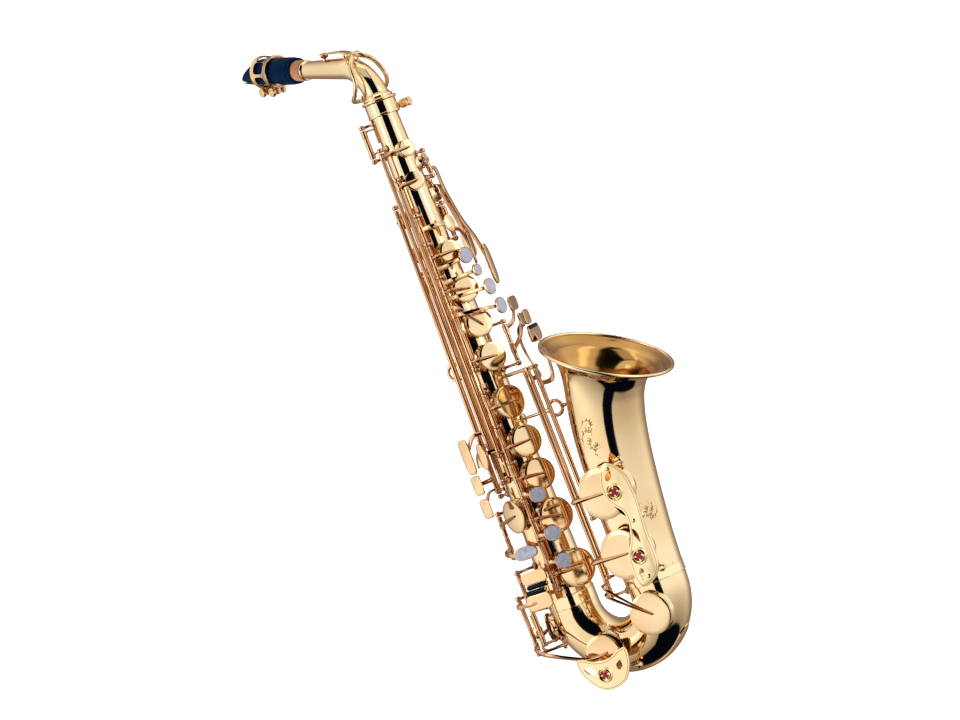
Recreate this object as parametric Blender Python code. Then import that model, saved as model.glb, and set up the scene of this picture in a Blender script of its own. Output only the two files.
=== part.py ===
"""An alto saxophone as an assembly: a conical brass body, bow and bell, a swivelling neck with its
mouthpiece, and every key on its own hinge.

The design frame has the body tube's axis as its Z axis, with z = 0 where the tube meets the bow. +X points
from the tube to the bell, which is away from the player, and -Y is the player's right. Lengths are
millimetres, and place() turns them into metres, with the strap ring's centre on the world's origin.
"""

import math

import bmesh
import bpy
from mathutils import Matrix, Vector

for old in list(bpy.data.objects):
    bpy.data.objects.remove(old, do_unlink=True)

# ------------------------------------------------ driving dimensions, in millimetres and degrees
MM = 0.001
GAP = 0.3  # clearance between neighbours that would touch

TUBE_LENGTH = 489.0
TUBE_R_LOW, TUBE_R_TOP = 23.0, 12.4
TUBE_WALL = 0.9
BELL_X = 91.0  # distance from the tube's axis to the bell's, at the bow
BOW_STRAIGHT = 12.0
BOW_R_BODY, BOW_R_BELL = 23.2, 28.4
BOW_BEND_R = BELL_X / 2
BELL_WALL = 1.0
# The bell's centreline: x, z and the outer radius there. The last rows are the flare, which leans.
BELL_STATIONS = (
    (91.0, 1.3, 28.6),
    (92.0, 35.0, 29.8),
    (94.5, 72.0, 31.3),
    (98.0, 110.0, 33.0),
    (103.0, 143.0, 34.6),
    (109.0, 166.0, 36.0),
    (114.0, 179.5, 38.0),
    (118.2, 188.8, 41.2),
    (121.2, 194.8, 45.6),
    (123.4, 198.6, 51.0),
    (124.9, 201.2, 57.0),
    (126.0, 203.0, 61.5),
)
BELL_LEAN = 32.0  # the rim's tilt away from the tube

NECK_TURN = 24.0  # how far the neck points to the player's left of straight back
NECK_RISE = 8.7
NECK_BEND_R = 40.0
NECK_BEND = 76.0
NECK_RUN = 89.2
PIVOT_AT, VENT_AT = -101.5, -59.5  # the octave key's hinge and vent, from the neck's end
NECK_R_BASE, NECK_R_END = 11.9, 7.6
MOUTHPIECE_START = 12.5  # how far the mouthpiece reaches over the end of the neck

CHIMNEY = 4.0  # height of a tone hole's rim over the tube
CUP_RIM = 1.2  # how far a cup overhangs its chimney
CUP_THICK = 3.8
HINGE_R = 2.3
BARREL = 1.9  # half the length of a post's head
PEARL_R = 7.2

STRAP_RING = Vector((-29.0, 0.0, 235.0))

# ------------------------------------------------ materials


def material(name, colour, roughness, metallic):
    made = bpy.data.materials.new(name)
    made.use_nodes = True
    shader = made.node_tree.nodes["Principled BSDF"]
    shader.inputs["Base Color"].default_value = (*colour, 1.0)
    shader.inputs["Roughness"].default_value = roughness
    shader.inputs["Metallic"].default_value = metallic
    return made


LACQUER = material("lacquered_brass", (0.83, 0.6, 0.28), 0.18, 1.0)
EBONITE = material("ebonite", (0.02, 0.025, 0.04), 0.3, 0.0)
CORK = material("cork", (0.62, 0.36, 0.2), 0.85, 0.0)
CANE = material("cane", (0.85, 0.7, 0.42), 0.6, 0.0)

# ------------------------------------------------ points and lines


def polar(angle, radius, z):
    """A point round the body tube. 0 degrees is the player's right, 90 is the front and 180 the left."""
    turn = math.radians(angle)
    return Vector((radius * math.sin(turn), -radius * math.cos(turn), z))


def outward(angle):
    return polar(angle, 1.0, 0.0)


def tube_r(z):
    return TUBE_R_LOW + (TUBE_R_TOP - TUBE_R_LOW) * z / TUBE_LENGTH


def at_height(line, z):
    """The point of a hinge line at height z."""
    low, high = line
    return low.lerp(high, (z - low.z) / (high.z - low.z))


def neck_point(along, side, z):
    """A point by the neck: along is towards the mouthpiece, side towards the player's right."""
    turn = math.radians(NECK_TURN)
    return Vector((-math.cos(turn), math.sin(turn), 0)) * along + Vector(
        (-math.sin(turn), -math.cos(turn), 0)
    ) * side + Vector((0, 0, z))


# ------------------------------------------------ shapes, as (points, faces) in the design frame


def frames_along(points, closed=False):
    """A pair of cross directions at each point of a path, carried along it without twist."""
    count = len(points)
    tangents = []
    for i in range(count):
        before = points[(i - 1) % count] if closed or i > 0 else points[i]
        after = points[(i + 1) % count] if closed or i < count - 1 else points[i]
        tangents.append((after - before).normalized())
    first = tangents[0].orthogonal().normalized()
    frames = []
    for tangent in tangents:
        first = (first - tangent * first.dot(tangent)).normalized()
        frames.append((first.copy(), tangent.cross(first)))
    return frames


def rings_to_solid(rings, closed=False):
    """Joins rings of equal point counts into one solid, capped at both ends unless they close."""
    size = len(rings[0])
    points = [p for ring in rings for p in ring]
    faces = []
    last = len(rings) if closed else len(rings) - 1
    for i in range(last):
        a, b = i * size, ((i + 1) % len(rings)) * size
        for k in range(size):
            n = (k + 1) % size
            faces.append((a + k, a + n, b + n, b + k))
    if not closed:
        faces.append(tuple(reversed(range(size))))
        faces.append(tuple(range(len(points) - size, len(points))))
    return points, faces


def sweep(points, radii, sides=8, closed=False):
    """A round bar along a path, of one radius or one radius for each point."""
    if isinstance(radii, (int, float)):
        radii = [radii] * len(points)
    rings = []
    for point, radius, (u, v) in zip(points, radii, frames_along(points, closed)):
        turns = [2 * math.pi * k / sides for k in range(sides)]
        rings.append([point + (u * math.cos(t) + v * math.sin(t)) * radius for t in turns])
    return rings_to_solid(rings, closed)


def rod(start, end, radius, sides=8):
    return sweep([start, end], radius, sides)


def disc(centre, normal, radius, thick, sides=14):
    return sweep([centre, centre + normal * thick], radius, sides)


def bar(points, width, thick, up):
    """A flat bar along a path, its width square to up and to the line between its ends."""
    rings = []
    side = (points[-1] - points[0]).cross(up).normalized() * (width / 2)
    for i, point in enumerate(points):
        before, after = points[max(i - 1, 0)], points[min(i + 1, len(points) - 1)]
        lift = side.cross(after - before).normalized() * (thick / 2)
        rings.append([point - side - lift, point + side - lift, point + side + lift, point - side + lift])
    return rings_to_solid(rings)


def plate(outline, origin, across, up, thick):
    """A flat plate centred on origin. The outline's two coordinates run along across and up."""
    normal = across.cross(up).normalized()
    rings = []
    for side in (-0.5, 0.5):
        rings.append([origin + across * a + up * b + normal * (thick * side) for a, b in outline])
    return rings_to_solid(rings)


def oval(length, width, count=14):
    """An outline with round ends, longer along its first coordinate."""
    turns = [2 * math.pi * k / count for k in range(count)]
    return [(math.cos(t) * length / 2, math.sin(t) * width / 2) for t in turns]


def hollow(points, radii, wall, sides):
    """A pipe along a path, open at both ends."""
    frames = frames_along(points)
    outer, inner = [], []
    for point, radius, (u, v) in zip(points, radii, frames):
        turns = [2 * math.pi * k / sides for k in range(sides)]
        outer.append([point + (u * math.cos(t) + v * math.sin(t)) * radius for t in turns])
        inner.append([point + (u * math.cos(t) + v * math.sin(t)) * (radius - wall) for t in turns])
    return rings_to_solid(outer + inner[::-1], closed=True)


# ------------------------------------------------ objects

SAXOPHONE = bpy.data.objects.new("saxophone", None)
bpy.context.scene.collection.objects.link(SAXOPHONE)
SAXOPHONE.location = -STRAP_RING * MM


def mesh_of(shape):
    points, faces = shape
    mesh = bpy.data.meshes.new("shape")
    mesh.from_pydata([p * MM for p in points], [], faces)
    mesh.validate()
    edit = bmesh.new()
    edit.from_mesh(mesh)
    bmesh.ops.recalc_face_normals(edit, faces=edit.faces)
    edit.to_mesh(mesh)
    edit.free()
    return mesh


def fused(shapes, cuts=()):
    """One mesh: the union of the shapes, less the cuts."""
    helpers = []
    for shape in (*shapes, *cuts):
        helper = bpy.data.objects.new("helper", mesh_of(shape))
        bpy.context.scene.collection.objects.link(helper)
        helpers.append(helper)
    base = helpers[0]
    for i, helper in enumerate(helpers[1:], start=1):
        join = base.modifiers.new("join", "BOOLEAN")
        join.object = helper
        join.operation = "UNION" if i < len(shapes) else "DIFFERENCE"
    bpy.context.view_layer.update()
    graph = bpy.context.evaluated_depsgraph_get()
    mesh = bpy.data.meshes.new_from_object(base.evaluated_get(graph))
    for helper in helpers:
        bpy.data.objects.remove(helper, do_unlink=True)
    return mesh


def place(name, mesh, finish, pivot=Vector((0, 0, 0)), axis=Vector((0, 0, 1))):
    """Names a mesh and places it, with its origin at the pivot and its local Z along the axis."""
    seat = Matrix.Translation(pivot * MM) @ axis.to_track_quat("Z", "Y").to_matrix().to_4x4()
    mesh.transform(seat.inverted())
    mesh.materials.clear()
    mesh.materials.append(finish)
    mesh.shade_smooth()
    mesh.set_sharp_from_angle(angle=math.radians(40))
    made = bpy.data.objects.new(name, mesh)
    bpy.context.scene.collection.objects.link(made)
    made.parent = SAXOPHONE
    made.matrix_local = seat
    return made


def one(name, shapes, finish=LACQUER, cuts=(), **where):
    mesh = fused(shapes, cuts) if len(shapes) + len(cuts) > 1 else mesh_of(shapes[0])
    return place(name, mesh, finish, **where)


# ------------------------------------------------ tone holes


class Hole:
    """A tone hole: foot is on the bore's axis, and rim is how far out along normal its rim stands."""

    def __init__(self, foot, normal, rim, cup_r):
        self.foot, self.normal, self.rim, self.cup_r = foot, normal.normalized(), rim, cup_r

    def chimney(self):
        return rod(self.foot, self.foot + self.normal * self.rim, self.cup_r - CUP_RIM, 12)

    def cutter(self):
        return rod(self.foot, self.foot + self.normal * (self.rim + 2), self.cup_r - CUP_RIM - 1.5, 12)

    def cup_top(self):
        return self.foot + self.normal * (self.rim + GAP + CUP_THICK)

    def cup(self):
        return disc(self.foot + self.normal * (self.rim + GAP), self.normal, self.cup_r, CUP_THICK)


def tube_hole(angle, z, cup_r):
    return Hole(Vector((0, 0, z)), outward(angle), tube_r(z) + CHIMNEY, cup_r)


def bow_path(count):
    """The bow's centreline from the body to the bell, and the outer radius along it."""
    low = Vector((0, 0, -GAP))
    points = [low]
    for k in range(count + 1):
        turn = math.pi * k / count
        points.append(
            Vector((BOW_BEND_R * (1 - math.cos(turn)), 0, -BOW_STRAIGHT - BOW_BEND_R * math.sin(turn)))
        )
    points.append(Vector((BELL_X, 0, -GAP)))
    share = [k / (len(points) - 1) for k in range(len(points))]
    return points, [BOW_R_BODY + (BOW_R_BELL - BOW_R_BODY) * s for s in share]


def bow_hole(turn, normal, cup_r):
    """A tone hole on the bow. Turn is 0 at the body's end of the bend and 180 at the bell's."""
    t = math.radians(turn)
    foot = Vector((BOW_BEND_R * (1 - math.cos(t)), 0, -BOW_STRAIGHT - BOW_BEND_R * math.sin(t)))
    return Hole(foot, normal, BOW_R_BODY + (BOW_R_BELL - BOW_R_BODY) * turn / 180 + CHIMNEY, cup_r)


def bell_at(z):
    """The bell's centre x and outer radius at height z, below the flare."""
    for (x0, z0, r0), (x1, z1, r1) in zip(BELL_STATIONS, BELL_STATIONS[1:]):
        if z <= z1:
            share = (z - z0) / (z1 - z0)
            return x0 + (x1 - x0) * share, r0 + (r1 - r0) * share
    return BELL_STATIONS[-1][0], BELL_STATIONS[-1][2]


def bell_hole(z, cup_r):
    x, radius = bell_at(z)
    return Hole(Vector((x, 0, z)), outward(2), radius + CHIMNEY, cup_r)


HOLES = {
    "high_e": tube_hole(55, 446, 8.3),
    "high_fsharp": tube_hole(42, 415, 9.0),
    "palm_f": tube_hole(118, 429, 7.5),
    "palm_eb": tube_hole(132, 398, 8.0),
    "palm_d": tube_hole(174, 379, 8.4),
    "side_c": tube_hole(-92, 384, 8.6),
    "side_bb": tube_hole(-108, 318, 9.6),
    "b": tube_hole(60, 342, 11.0),
    "bis": tube_hole(60, 305, 12.8),
    "a": tube_hole(60, 271, 13.2),
    "g": tube_hole(60, 238, 13.4),
    "gsharp": tube_hole(60, 193, 15.6),
    "fsharp": tube_hole(60, 154, 15.0),
    "f": tube_hole(60, 121, 15.2),
    "e": tube_hole(60, 80, 16.8),
    "d": tube_hole(60, 28, 18.3),
    "trill": tube_hole(-28, 91, 16.2),
    "low_eb": bow_hole(10, outward(-75), 14.2),
    "low_c": bow_hole(66, outward(8), 18.0),
    "low_csharp": bow_hole(155, outward(6), 20.0),
    "low_b": bell_hole(29.0, 23.4),
    "low_bb": bell_hole(88.0, 24.3),
}
BOW_HOLES = ("low_eb", "low_c", "low_csharp")
BELL_HOLES = ("low_b", "low_bb")
TUBE_HOLES = tuple(n for n in HOLES if n not in BOW_HOLES + BELL_HOLES)

# ------------------------------------------------ hinge lines, each from its low end to its top


def tube_line(angle, standoff, low, top):
    """A hinge line that runs along the tube's cone, standoff away from its surface."""
    return polar(angle, tube_r(low) + standoff, low), polar(angle, tube_r(top) + standoff, top)


def upright(x, y):
    return Vector((x, y, -100)), Vector((x, y, 300))


LINES = {
    "stack": tube_line(13, 8.5, 15, 384),
    "high_fsharp": tube_line(-2, 8, 150, 421),
    "high_e": tube_line(-20, 8, 125, 452),
    "side_c": tube_line(-62, 8, 118, 398),
    "side_bb": tube_line(-75, 8, 112, 332),
    "trill": tube_line(-72, 16, 54, 97),
    "palm_f": tube_line(138, 8, 414, 439),
    "palm_eb": tube_line(160, 8, 392, 414),
    "palm_d": tube_line(150, 8, 352, 387),
    "octave": tube_line(-125, 8, 340, 470),
    "table": (polar(100, 35, 223), polar(100, 35, 264)),
    "low_eb": (polar(-42, 41, -30), polar(-42, 41, 41)),
    "low_c": (polar(-58, 47, -38), polar(-58, 47, 17)),
    "low_csharp": upright(47.5, -12.6),
    "low_b": upright(53, -16.5),
    "low_bb": upright(58.5, -12.5),
}


def post_head(line, z):
    """The barrel at a post's top, which holds the ends of the hinge tubes either side of it."""
    middle = at_height(line, z)
    along = (line[1] - line[0]).normalized()
    return rod(middle - along * BARREL, middle + along * BARREL, 2.9, 6)


def post(line, z, root):
    """A post from a root inside the tube to a hinge line at height z, with its barrel."""
    return [rod(root, at_height(line, z), 1.4, 5), post_head(line, z)]


TUBE_POSTS = {
    "stack": (15, 64, 106, 140, 176, 210, 232, 323.5, 356, 384),
    "high_fsharp": (150, 421),
    "high_e": (125, 452),
    "side_c": (118, 398),
    "side_bb": (112, 332),
    "trill": (54, 97),
    "palm_f": (414, 439),
    "palm_eb": (392, 414),
    "palm_d": (352, 387),
    "octave": (340, 470),
    "table": (223, 264),
    "low_eb": (41,),
    "low_c": (17,),
}

# ------------------------------------------------ the body: tube, bow and bell


def ring_round(centre, normal, radius, thick, count=20, sides=6):
    """A closed ring of round bar."""
    first = normal.orthogonal().normalized()
    second = normal.cross(first)
    turns = [2 * math.pi * k / count for k in range(count)]
    points = [centre + (first * math.cos(t) + second * math.sin(t)) * radius for t in turns]
    return sweep(points, thick, sides, True)


def pipe_cutter(points, radii, sides):
    """The bore of a pipe, run on past both ends."""
    points = [points[0] * 2 - points[1]] + list(points) + [points[-1] * 2 - points[-2]]
    return sweep(points, [radii[0], *radii, radii[-1]], sides)


def body_tube():
    ends = [Vector((0, 0, 0)), Vector((0, 0, TUBE_LENGTH))]
    radii = [TUBE_R_LOW, TUBE_R_TOP]
    shapes = [sweep(ends, radii, 24)]
    shapes += [HOLES[name].chimney() for name in TUBE_HOLES]
    for name, heights in TUBE_POSTS.items():
        for z in heights:
            head = at_height(LINES[name], z)
            inward = Vector((head.x, head.y, 0)).normalized()
            shapes += post(LINES[name], z, inward * (tube_r(z) - 0.6) + Vector((0, 0, z)))
    shapes.append(bar([polar(75, 16.8, 216), Vector((61, -14.5, 216))], 10, 4, Vector((0, 0, 1))))
    cuts = [pipe_cutter(ends, [r - TUBE_WALL for r in radii], 24)]
    cuts += [HOLES[name].cutter() for name in TUBE_HOLES]
    one("body_tube", shapes, cuts=cuts)


def bow():
    points, radii = bow_path(11)
    shapes = [sweep(points, radii, 20)] + [HOLES[name].chimney() for name in BOW_HOLES]
    shapes += post(LINES["low_eb"], -30, Vector((-14, -15, -30)))
    shapes += post(LINES["low_c"], -38, Vector((-9, -12, -38)))
    shapes += post(LINES["low_csharp"], -8, Vector((66, -8, -8)))
    cuts = [pipe_cutter(points, [r - BELL_WALL for r in radii], 20)]
    cuts += [HOLES[n].cutter() for n in BOW_HOLES]
    one("bow", shapes, cuts=cuts)


def bell():
    points = [Vector((x, 0, z)) for x, z, _ in BELL_STATIONS]
    radii = [r for _, _, r in BELL_STATIONS]
    lean = math.radians(BELL_LEAN)
    rim_normal = Vector((math.sin(lean), 0, math.cos(lean)))
    shapes = [sweep(points, radii, 24)] + [HOLES[name].chimney() for name in BELL_HOLES]
    shapes.append(ring_round(points[-1], rim_normal, radii[-1] - 0.2, 1.8, 24, 6))
    shapes += post(LINES["low_b"], 10, Vector((66, -11.5, 10)))
    shapes += post(LINES["low_bb"], 66, Vector((66, -9.5, 66)))
    cuts = [pipe_cutter(points, [r - BELL_WALL for r in radii], 24)]
    cuts += [HOLES[n].cutter() for n in BELL_HOLES]
    one("bell", shapes, cuts=cuts)


def ferrules():
    low, top = Vector((0, 0, -6)), Vector((0, 0, 6))
    one("body_ferrule", [hollow([low, top], [25.1, 25.1], 1.4, 32)])
    across = Vector((BELL_X, 0, 0))
    one("bell_ferrule", [hollow([low + across, top + across - Vector((0, 0, 2.4))], [30.9, 30.9], 1.4, 32)])


body_tube()
bow()
bell()
ferrules()

# ------------------------------------------------ fittings on the body


def brace():
    """The stay between tube and bell, with its ring, passing behind the bell keys' rods."""
    z, y = 172.5, 3.0
    middle = Vector((55.5, y, z))
    near = Vector((math.sqrt(tube_r(z) ** 2 - y * y) + GAP + 0.2, y, z))
    far = Vector((72.6, y, z))
    one(
        "bell_brace",
        [
            ring_round(middle, Vector((0, 1, 0)), 7.0, 1.7, 16),
            rod(near, middle - Vector((7, 0, 0)), 1.7),
            rod(middle + Vector((7, 0, 0)), far, 1.7),
        ],
    )


def neck_receiver():
    """The split socket that clamps the neck's tenon, with the ears its screw runs through."""
    low, top = Vector((0, 0, 481.5)), Vector((0, 0, 498.0))
    side = outward(175)
    ear = side.cross(Vector((0, 0, 1))).normalized()
    middle = side * 18.5 + Vector((0, 0, 486.5))
    shapes = [
        sweep([low, top], 15.6, 20),
        ring_round(Vector((0, 0, 496.6)), Vector((0, 0, 1)), 15.5, 1.5, 20),
    ]
    for face in (-1, 1):
        shapes.append(disc(middle + ear * (face * 2.0), ear * face, 4.6, 3.0, 12))
    cuts = [
        rod(low - Vector((0, 0, 1)), top + Vector((0, 0, 2)), 13.0, 20),
        bar([side * 6 + Vector((0, 0, 479)), side * 6 + Vector((0, 0, 501))], 1.4, 40, side),
        rod(middle - ear * 9, middle + ear * 9, 1.9, 10),
    ]
    one("neck_receiver", shapes, cuts=cuts)
    one(
        "neck_clamp_screw",
        [
            rod(middle - ear * 6.5, middle + ear * 12, 1.5, 10),
            rod(middle + ear * 6.0, middle + ear * 10.5, 2.8, 12),
            rod(middle + ear * 9.5, middle + ear * 20, 4.4, 16),
        ],
        pivot=middle,
        axis=ear,
    )


def strap_ring():
    back = Vector((-1, 0, 0))
    z = STRAP_RING.z
    base = back * (tube_r(z) + 0.5) + Vector((0, 0, z))
    one(
        "strap_ring",
        [
            ring_round(STRAP_RING, Vector((0, 1, 0)), 7.6, 1.8, 18),
            plate(oval(24, 9), base + back * 0.8, Vector((0, 0, 1)), Vector((0, 1, 0)), 1.6),
        ],
    )


def thumb_hook():
    """The right thumb's hook on its plate, with the screw that fixes its height."""
    back, up = outward(-104), Vector((0, 0, 1))
    side = up.cross(back)
    z = 150.0
    base = back * (tube_r(z - 12) + 0.5) + up * z
    one("thumb_plate", [plate(oval(26, 14), base + back * 0.8, up, side, 1.6)])
    seat = base + back * 2.0
    curve = [seat + back * 1.6 + up * 9, seat + back * 8 + up * 11, seat + back * 17 + up * 8]
    curve += [seat + back * 23 + up * 1, seat + back * 24 + up * -8]
    one(
        "thumb_hook",
        [
            plate(oval(24, 12), seat + back * 1.1, up, side, 1.8),
            bar(curve, 13, 2.2, side.cross(up)),
        ],
        cuts=[rod(seat - up * 5 - back * 2, seat - up * 5 + back * 5, 1.7, 10)],
        pivot=seat,
    )
    head = seat - up * 5 + back * 2.4
    one("thumb_hook_screw", [disc(head, back, 3.6, 2.6, 12)], pivot=head, axis=back)


def thumb_rest():
    back, z = Vector((-1, 0, 0)), 350.0
    seat = back * (tube_r(z) + 0.6) + Vector((0, 0, z))
    one("thumb_rest", [disc(seat, back, 5.0, 5.0), disc(seat + back * 4.5, back, 7.8, 3.0, 16)])


def bow_guard():
    """The wear plate along the lowest part of the bow."""
    points, radii = bow_path(14)
    path = []
    for point, radius in zip(points[4:13], radii[4:13]):
        out = (point - Vector((BOW_BEND_R, 0, -BOW_STRAIGHT))).normalized()
        path.append(point + out * (radius + GAP + 0.9))
    one("bow_guard", [bar(path, 17, 1.2, Vector((0, 1, 0)).cross(Vector((1, 0, 0))))])


brace()
neck_receiver()
strap_ring()
thumb_hook()
thumb_rest()
bow_guard()


def guards():
    """The plates that shield the low keys' cups and carry their stops."""
    right, up, front = Vector((0, -1, 0)), Vector((0, 0, 1)), Vector((1, 0, 0))
    middle = Vector((111, -51.5, 57))
    outline = [(57, 3), (47, 12.5), (21, 18.5), (0, 17), (-44, 16), (-54, 9.5), (-60, -3), (-57, -10)]
    outline += [(-40, -11), (-24, -7), (2, 2), (12, 1), (22, -8), (34, -11), (48, -8), (56, -4)]
    shapes = [plate(outline, middle, up, front, 1.8)]
    struts = (((113.5, -24.5, 5), (113, 5)), ((114, -27, 57), (119, 57)), ((116, -32, 110), (113, 108.5)))
    for foot, (x, z) in struts:
        shapes.append(rod(Vector(foot), Vector((x, -51.5, z)), 2.0))
    cuts = [rod(middle + up * z - right * 4, middle + up * z + right * 4, 5.0, 12) for z in (-32, 30)]
    one("bell_key_guard", shapes, cuts=cuts)
    middle = Vector((36, -50.5, -66))
    outline = [(-26, 14), (26, 14), (24, 2), (15, -13), (0, -19), (-15, -13), (-24, 2)]
    shapes = [plate(outline, middle, front, up, 1.8)]
    for x, z, y in ((55, -74, -24.6), (23, -83, -18.5)):
        shapes.append(rod(Vector((x, y, z)), Vector((x, -50.5, z + 5)), 2.0))
    cuts = [rod(middle + front * x - right * 4, middle + front * x + right * 4, 4.5, 12) for x in (-10, 10)]
    one("low_c_guard", shapes, cuts=cuts)


guards()

# ------------------------------------------------ keys


class Key:
    """One key. Its shapes are laid out with the cup shut, and lift is the turn that raises the cup.

    An open key rests lifted, so its whole mesh is turned by lift about its hinge line before it is placed.
    """

    def __init__(self, name, line, low, top, lift=0.0, rests_open=False):
        self.name, self.line, self.lift, self.rests_open = name, LINES[line], lift, rests_open
        self.low, self.top = low, top
        self.shapes = [rod(self.at(low), self.at(top), HINGE_R, 6)]

    def at(self, z):
        return at_height(self.line, z)

    def arm(self, *points, width=3.4, thick=2.0, up=None):
        """A flat arm through the points. Up is square to its width; by default it leads off the tube."""
        if up is None:
            up = Vector((points[-1].x, points[-1].y, 0))
        self.shapes.append(bar(list(points), width, thick, up))
        return self

    def cup(self, hole_name, from_z):
        """The cup over a tone hole, with the arm that carries it from the hinge."""
        hole = HOLES[hole_name]
        top = hole.cup_top()
        self.shapes.append(hole.cup())
        start = self.at(from_z)
        level = top + hole.normal * 0.6
        rise = (level - start).dot(hole.normal)
        knee = start.lerp(level - hole.normal * rise, 0.14) + hole.normal * rise
        self.shapes.append(bar([start, knee, level], 3.6, 2.4, hole.normal))
        return self

    def pearl(self, angle, radius, z, *through):
        """A finger pearl in its dish, on an arm from the hinge."""
        normal = outward(angle)
        centre = polar(angle, radius, z)
        self.arm(*through, centre - normal * 0.5, width=4.0, thick=2.0, up=normal)
        self.shapes.append(disc(centre - normal * 1.6, normal, PEARL_R + 0.9, 3.4, 16))
        return self

    def touch(self, outline, centre, face, *through):
        """A flat touch plate at the end of an arm. The outline runs along the tube and then round it."""
        across = Vector((0, 0, 1))
        around = face.cross(across).normalized()
        self.shapes.append(plate(outline, centre, across, around, 2.2))
        self.arm(*through, centre, width=4.0, thick=2.4, up=face)
        return self

    def build(self):
        mesh = fused(self.shapes)
        pivot = self.at((self.low + self.top) / 2)
        axis = (self.line[1] - self.line[0]).normalized()
        if self.rests_open:
            turn = Matrix.Rotation(math.radians(self.lift), 4, axis)
            shift = Matrix.Translation(pivot * MM)
            mesh.transform(shift @ turn @ shift.inverted())
        place(self.name, mesh, LACQUER, pivot, axis)


def stack_keys():
    """The two rows of keys down the front, which rest open and shut under the fingers."""
    lift = -9.0
    key = Key("front_f_key", "stack", 358.5, 381.5)
    key.pearl(76, 27.5, 367, key.at(370), polar(40, 28.5, 370)).build()
    key = Key("b_key", "stack", 326, 353.5, lift, True).cup("b", 342)
    key.pearl(77, 31, 334, key.at(331), polar(45, 31.5, 331)).build()
    key = Key("bis_key", "stack", 307, 321, lift, True).cup("bis", 309)
    key.pearl(88, 32, 317.5, key.at(317), polar(42, 33, 317)).build()
    key = Key("a_key", "stack", 292.8, 306.7, lift, True).cup("a", 295)
    key.pearl(92, 37, 299, key.at(302), polar(40, 36.5, 301)).build()
    key = Key("g_key", "stack", 234.5, 291.0, lift, True).cup("g", 240)
    key.pearl(94, 40, 279, key.at(286), polar(32, 37, 285), polar(65, 40, 282)).build()
    Key("fsharp_key", "stack", 142.5, 173.5, lift, True).cup("fsharp", 154).build()
    key = Key("f_key", "stack", 108.5, 137.5, lift, True).cup("f", 124)
    key.pearl(40, 38, 105, key.at(111), polar(22, 35, 109)).build()
    key = Key("e_key", "stack", 66.5, 103.5, lift, True).cup("e", 84)
    key.pearl(40, 39, 67, key.at(69), polar(22, 36, 68)).build()
    key = Key("d_key", "stack", 17.5, 61.5, lift, True).cup("d", 30)
    key.pearl(40, 40, 40, key.at(44), polar(22, 37, 42)).build()


def side_keys():
    """The long keys the right hand's side works, which spring shut."""
    face = outward(-20)
    key = Key("high_e_key", "high_e", 127.5, 449.5, -9.0).cup("high_e", 446)
    key.touch(oval(34, 13), polar(-45, 45, 158), face, key.at(175), polar(-34, 36, 174)).build()
    key = Key("high_fsharp_key", "high_fsharp", 152.5, 418.5, -9.0).cup("high_fsharp", 414)
    key.touch(oval(26, 10), polar(-24, 37, 154), outward(-20), key.at(156), polar(-14, 34, 156)).build()
    key = Key("side_c_key", "side_c", 120.5, 395.5, 9.0).cup("side_c", 384)
    key.touch(oval(19, 13), polar(-48, 45, 130), face, key.at(130), polar(-55, 36.5, 130)).build()
    key = Key("side_bb_key", "side_bb", 114.5, 329.5, 9.0).cup("side_bb", 318)
    route = (key.at(120), polar(-70, 37, 119), polar(-60, 41, 112))
    key.touch(oval(19, 13), polar(-48, 45, 107), face, *route).build()
    key = Key("trill_key", "trill", 74.2, 94.5, -8.0).cup("trill", 86)
    key.build()
    key = Key("trill_lever", "trill", 56.3, 73.8)
    route = (key.at(62), polar(-52, 43, 61), polar(-28, 45, 59))
    key.touch(oval(13, 22), polar(-6, 42, 58), outward(12), *route).build()


def palm_keys():
    """The three keys the left palm opens."""
    key = Key("palm_f_key", "palm_f", 416.3, 436.6, 9.0).cup("palm_f", 430)
    route = [key.at(421), polar(143, 28, 419), polar(148, 30.5, 398), polar(146, 35, 368)]
    route.append(polar(146, 42, 345))
    key.touch(oval(38, 14), polar(146, 47, 318), outward(102), *route)
    key.build()
    key = Key("palm_eb_key", "palm_eb", 394.3, 411.6, 9.0).cup("palm_eb", 399)
    route = (key.at(404), polar(162, 31, 403), polar(165, 37, 386), polar(169, 45, 364))
    key.touch(oval(30, 14), polar(170, 47, 344), outward(168), *route)
    key.build()
    key = Key("palm_d_key", "palm_d", 354.3, 384.6, -9.0).cup("palm_d", 379)
    key.touch(oval(34, 13), polar(122, 30, 340), outward(122), key.at(362), polar(138, 28.5, 357)).build()


def pinky_keys():
    """The right little finger's keys, on the bow."""
    key = Key("low_eb_key", "low_eb", -27.6, 38.7, 7.0).cup("low_eb", -20)
    key.touch(oval(12, 26), polar(-10, 40, 34), outward(6), key.at(34), polar(-28, 42.5, 34)).build()
    key = Key("low_c_key", "low_c", -35.6, 14.7, -4.5, True)
    hole = HOLES["low_c"]
    key.shapes.append(hole.cup())
    top = hole.cup_top() + hole.normal * 0.6
    route = [key.at(-30), Vector((-34, -36.5, -33)), Vector((-16, -43, -40))]
    route += [top - Vector((14, 3.5, 0)), top]
    key.arm(*route, width=5.0, thick=2.4, up=hole.normal)
    route = (key.at(11), polar(-42, 51.5, 11), polar(-26, 47, 11))
    key.touch(oval(15, 26), polar(-10, 41, 11), outward(6), *route)
    key.build()


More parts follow.
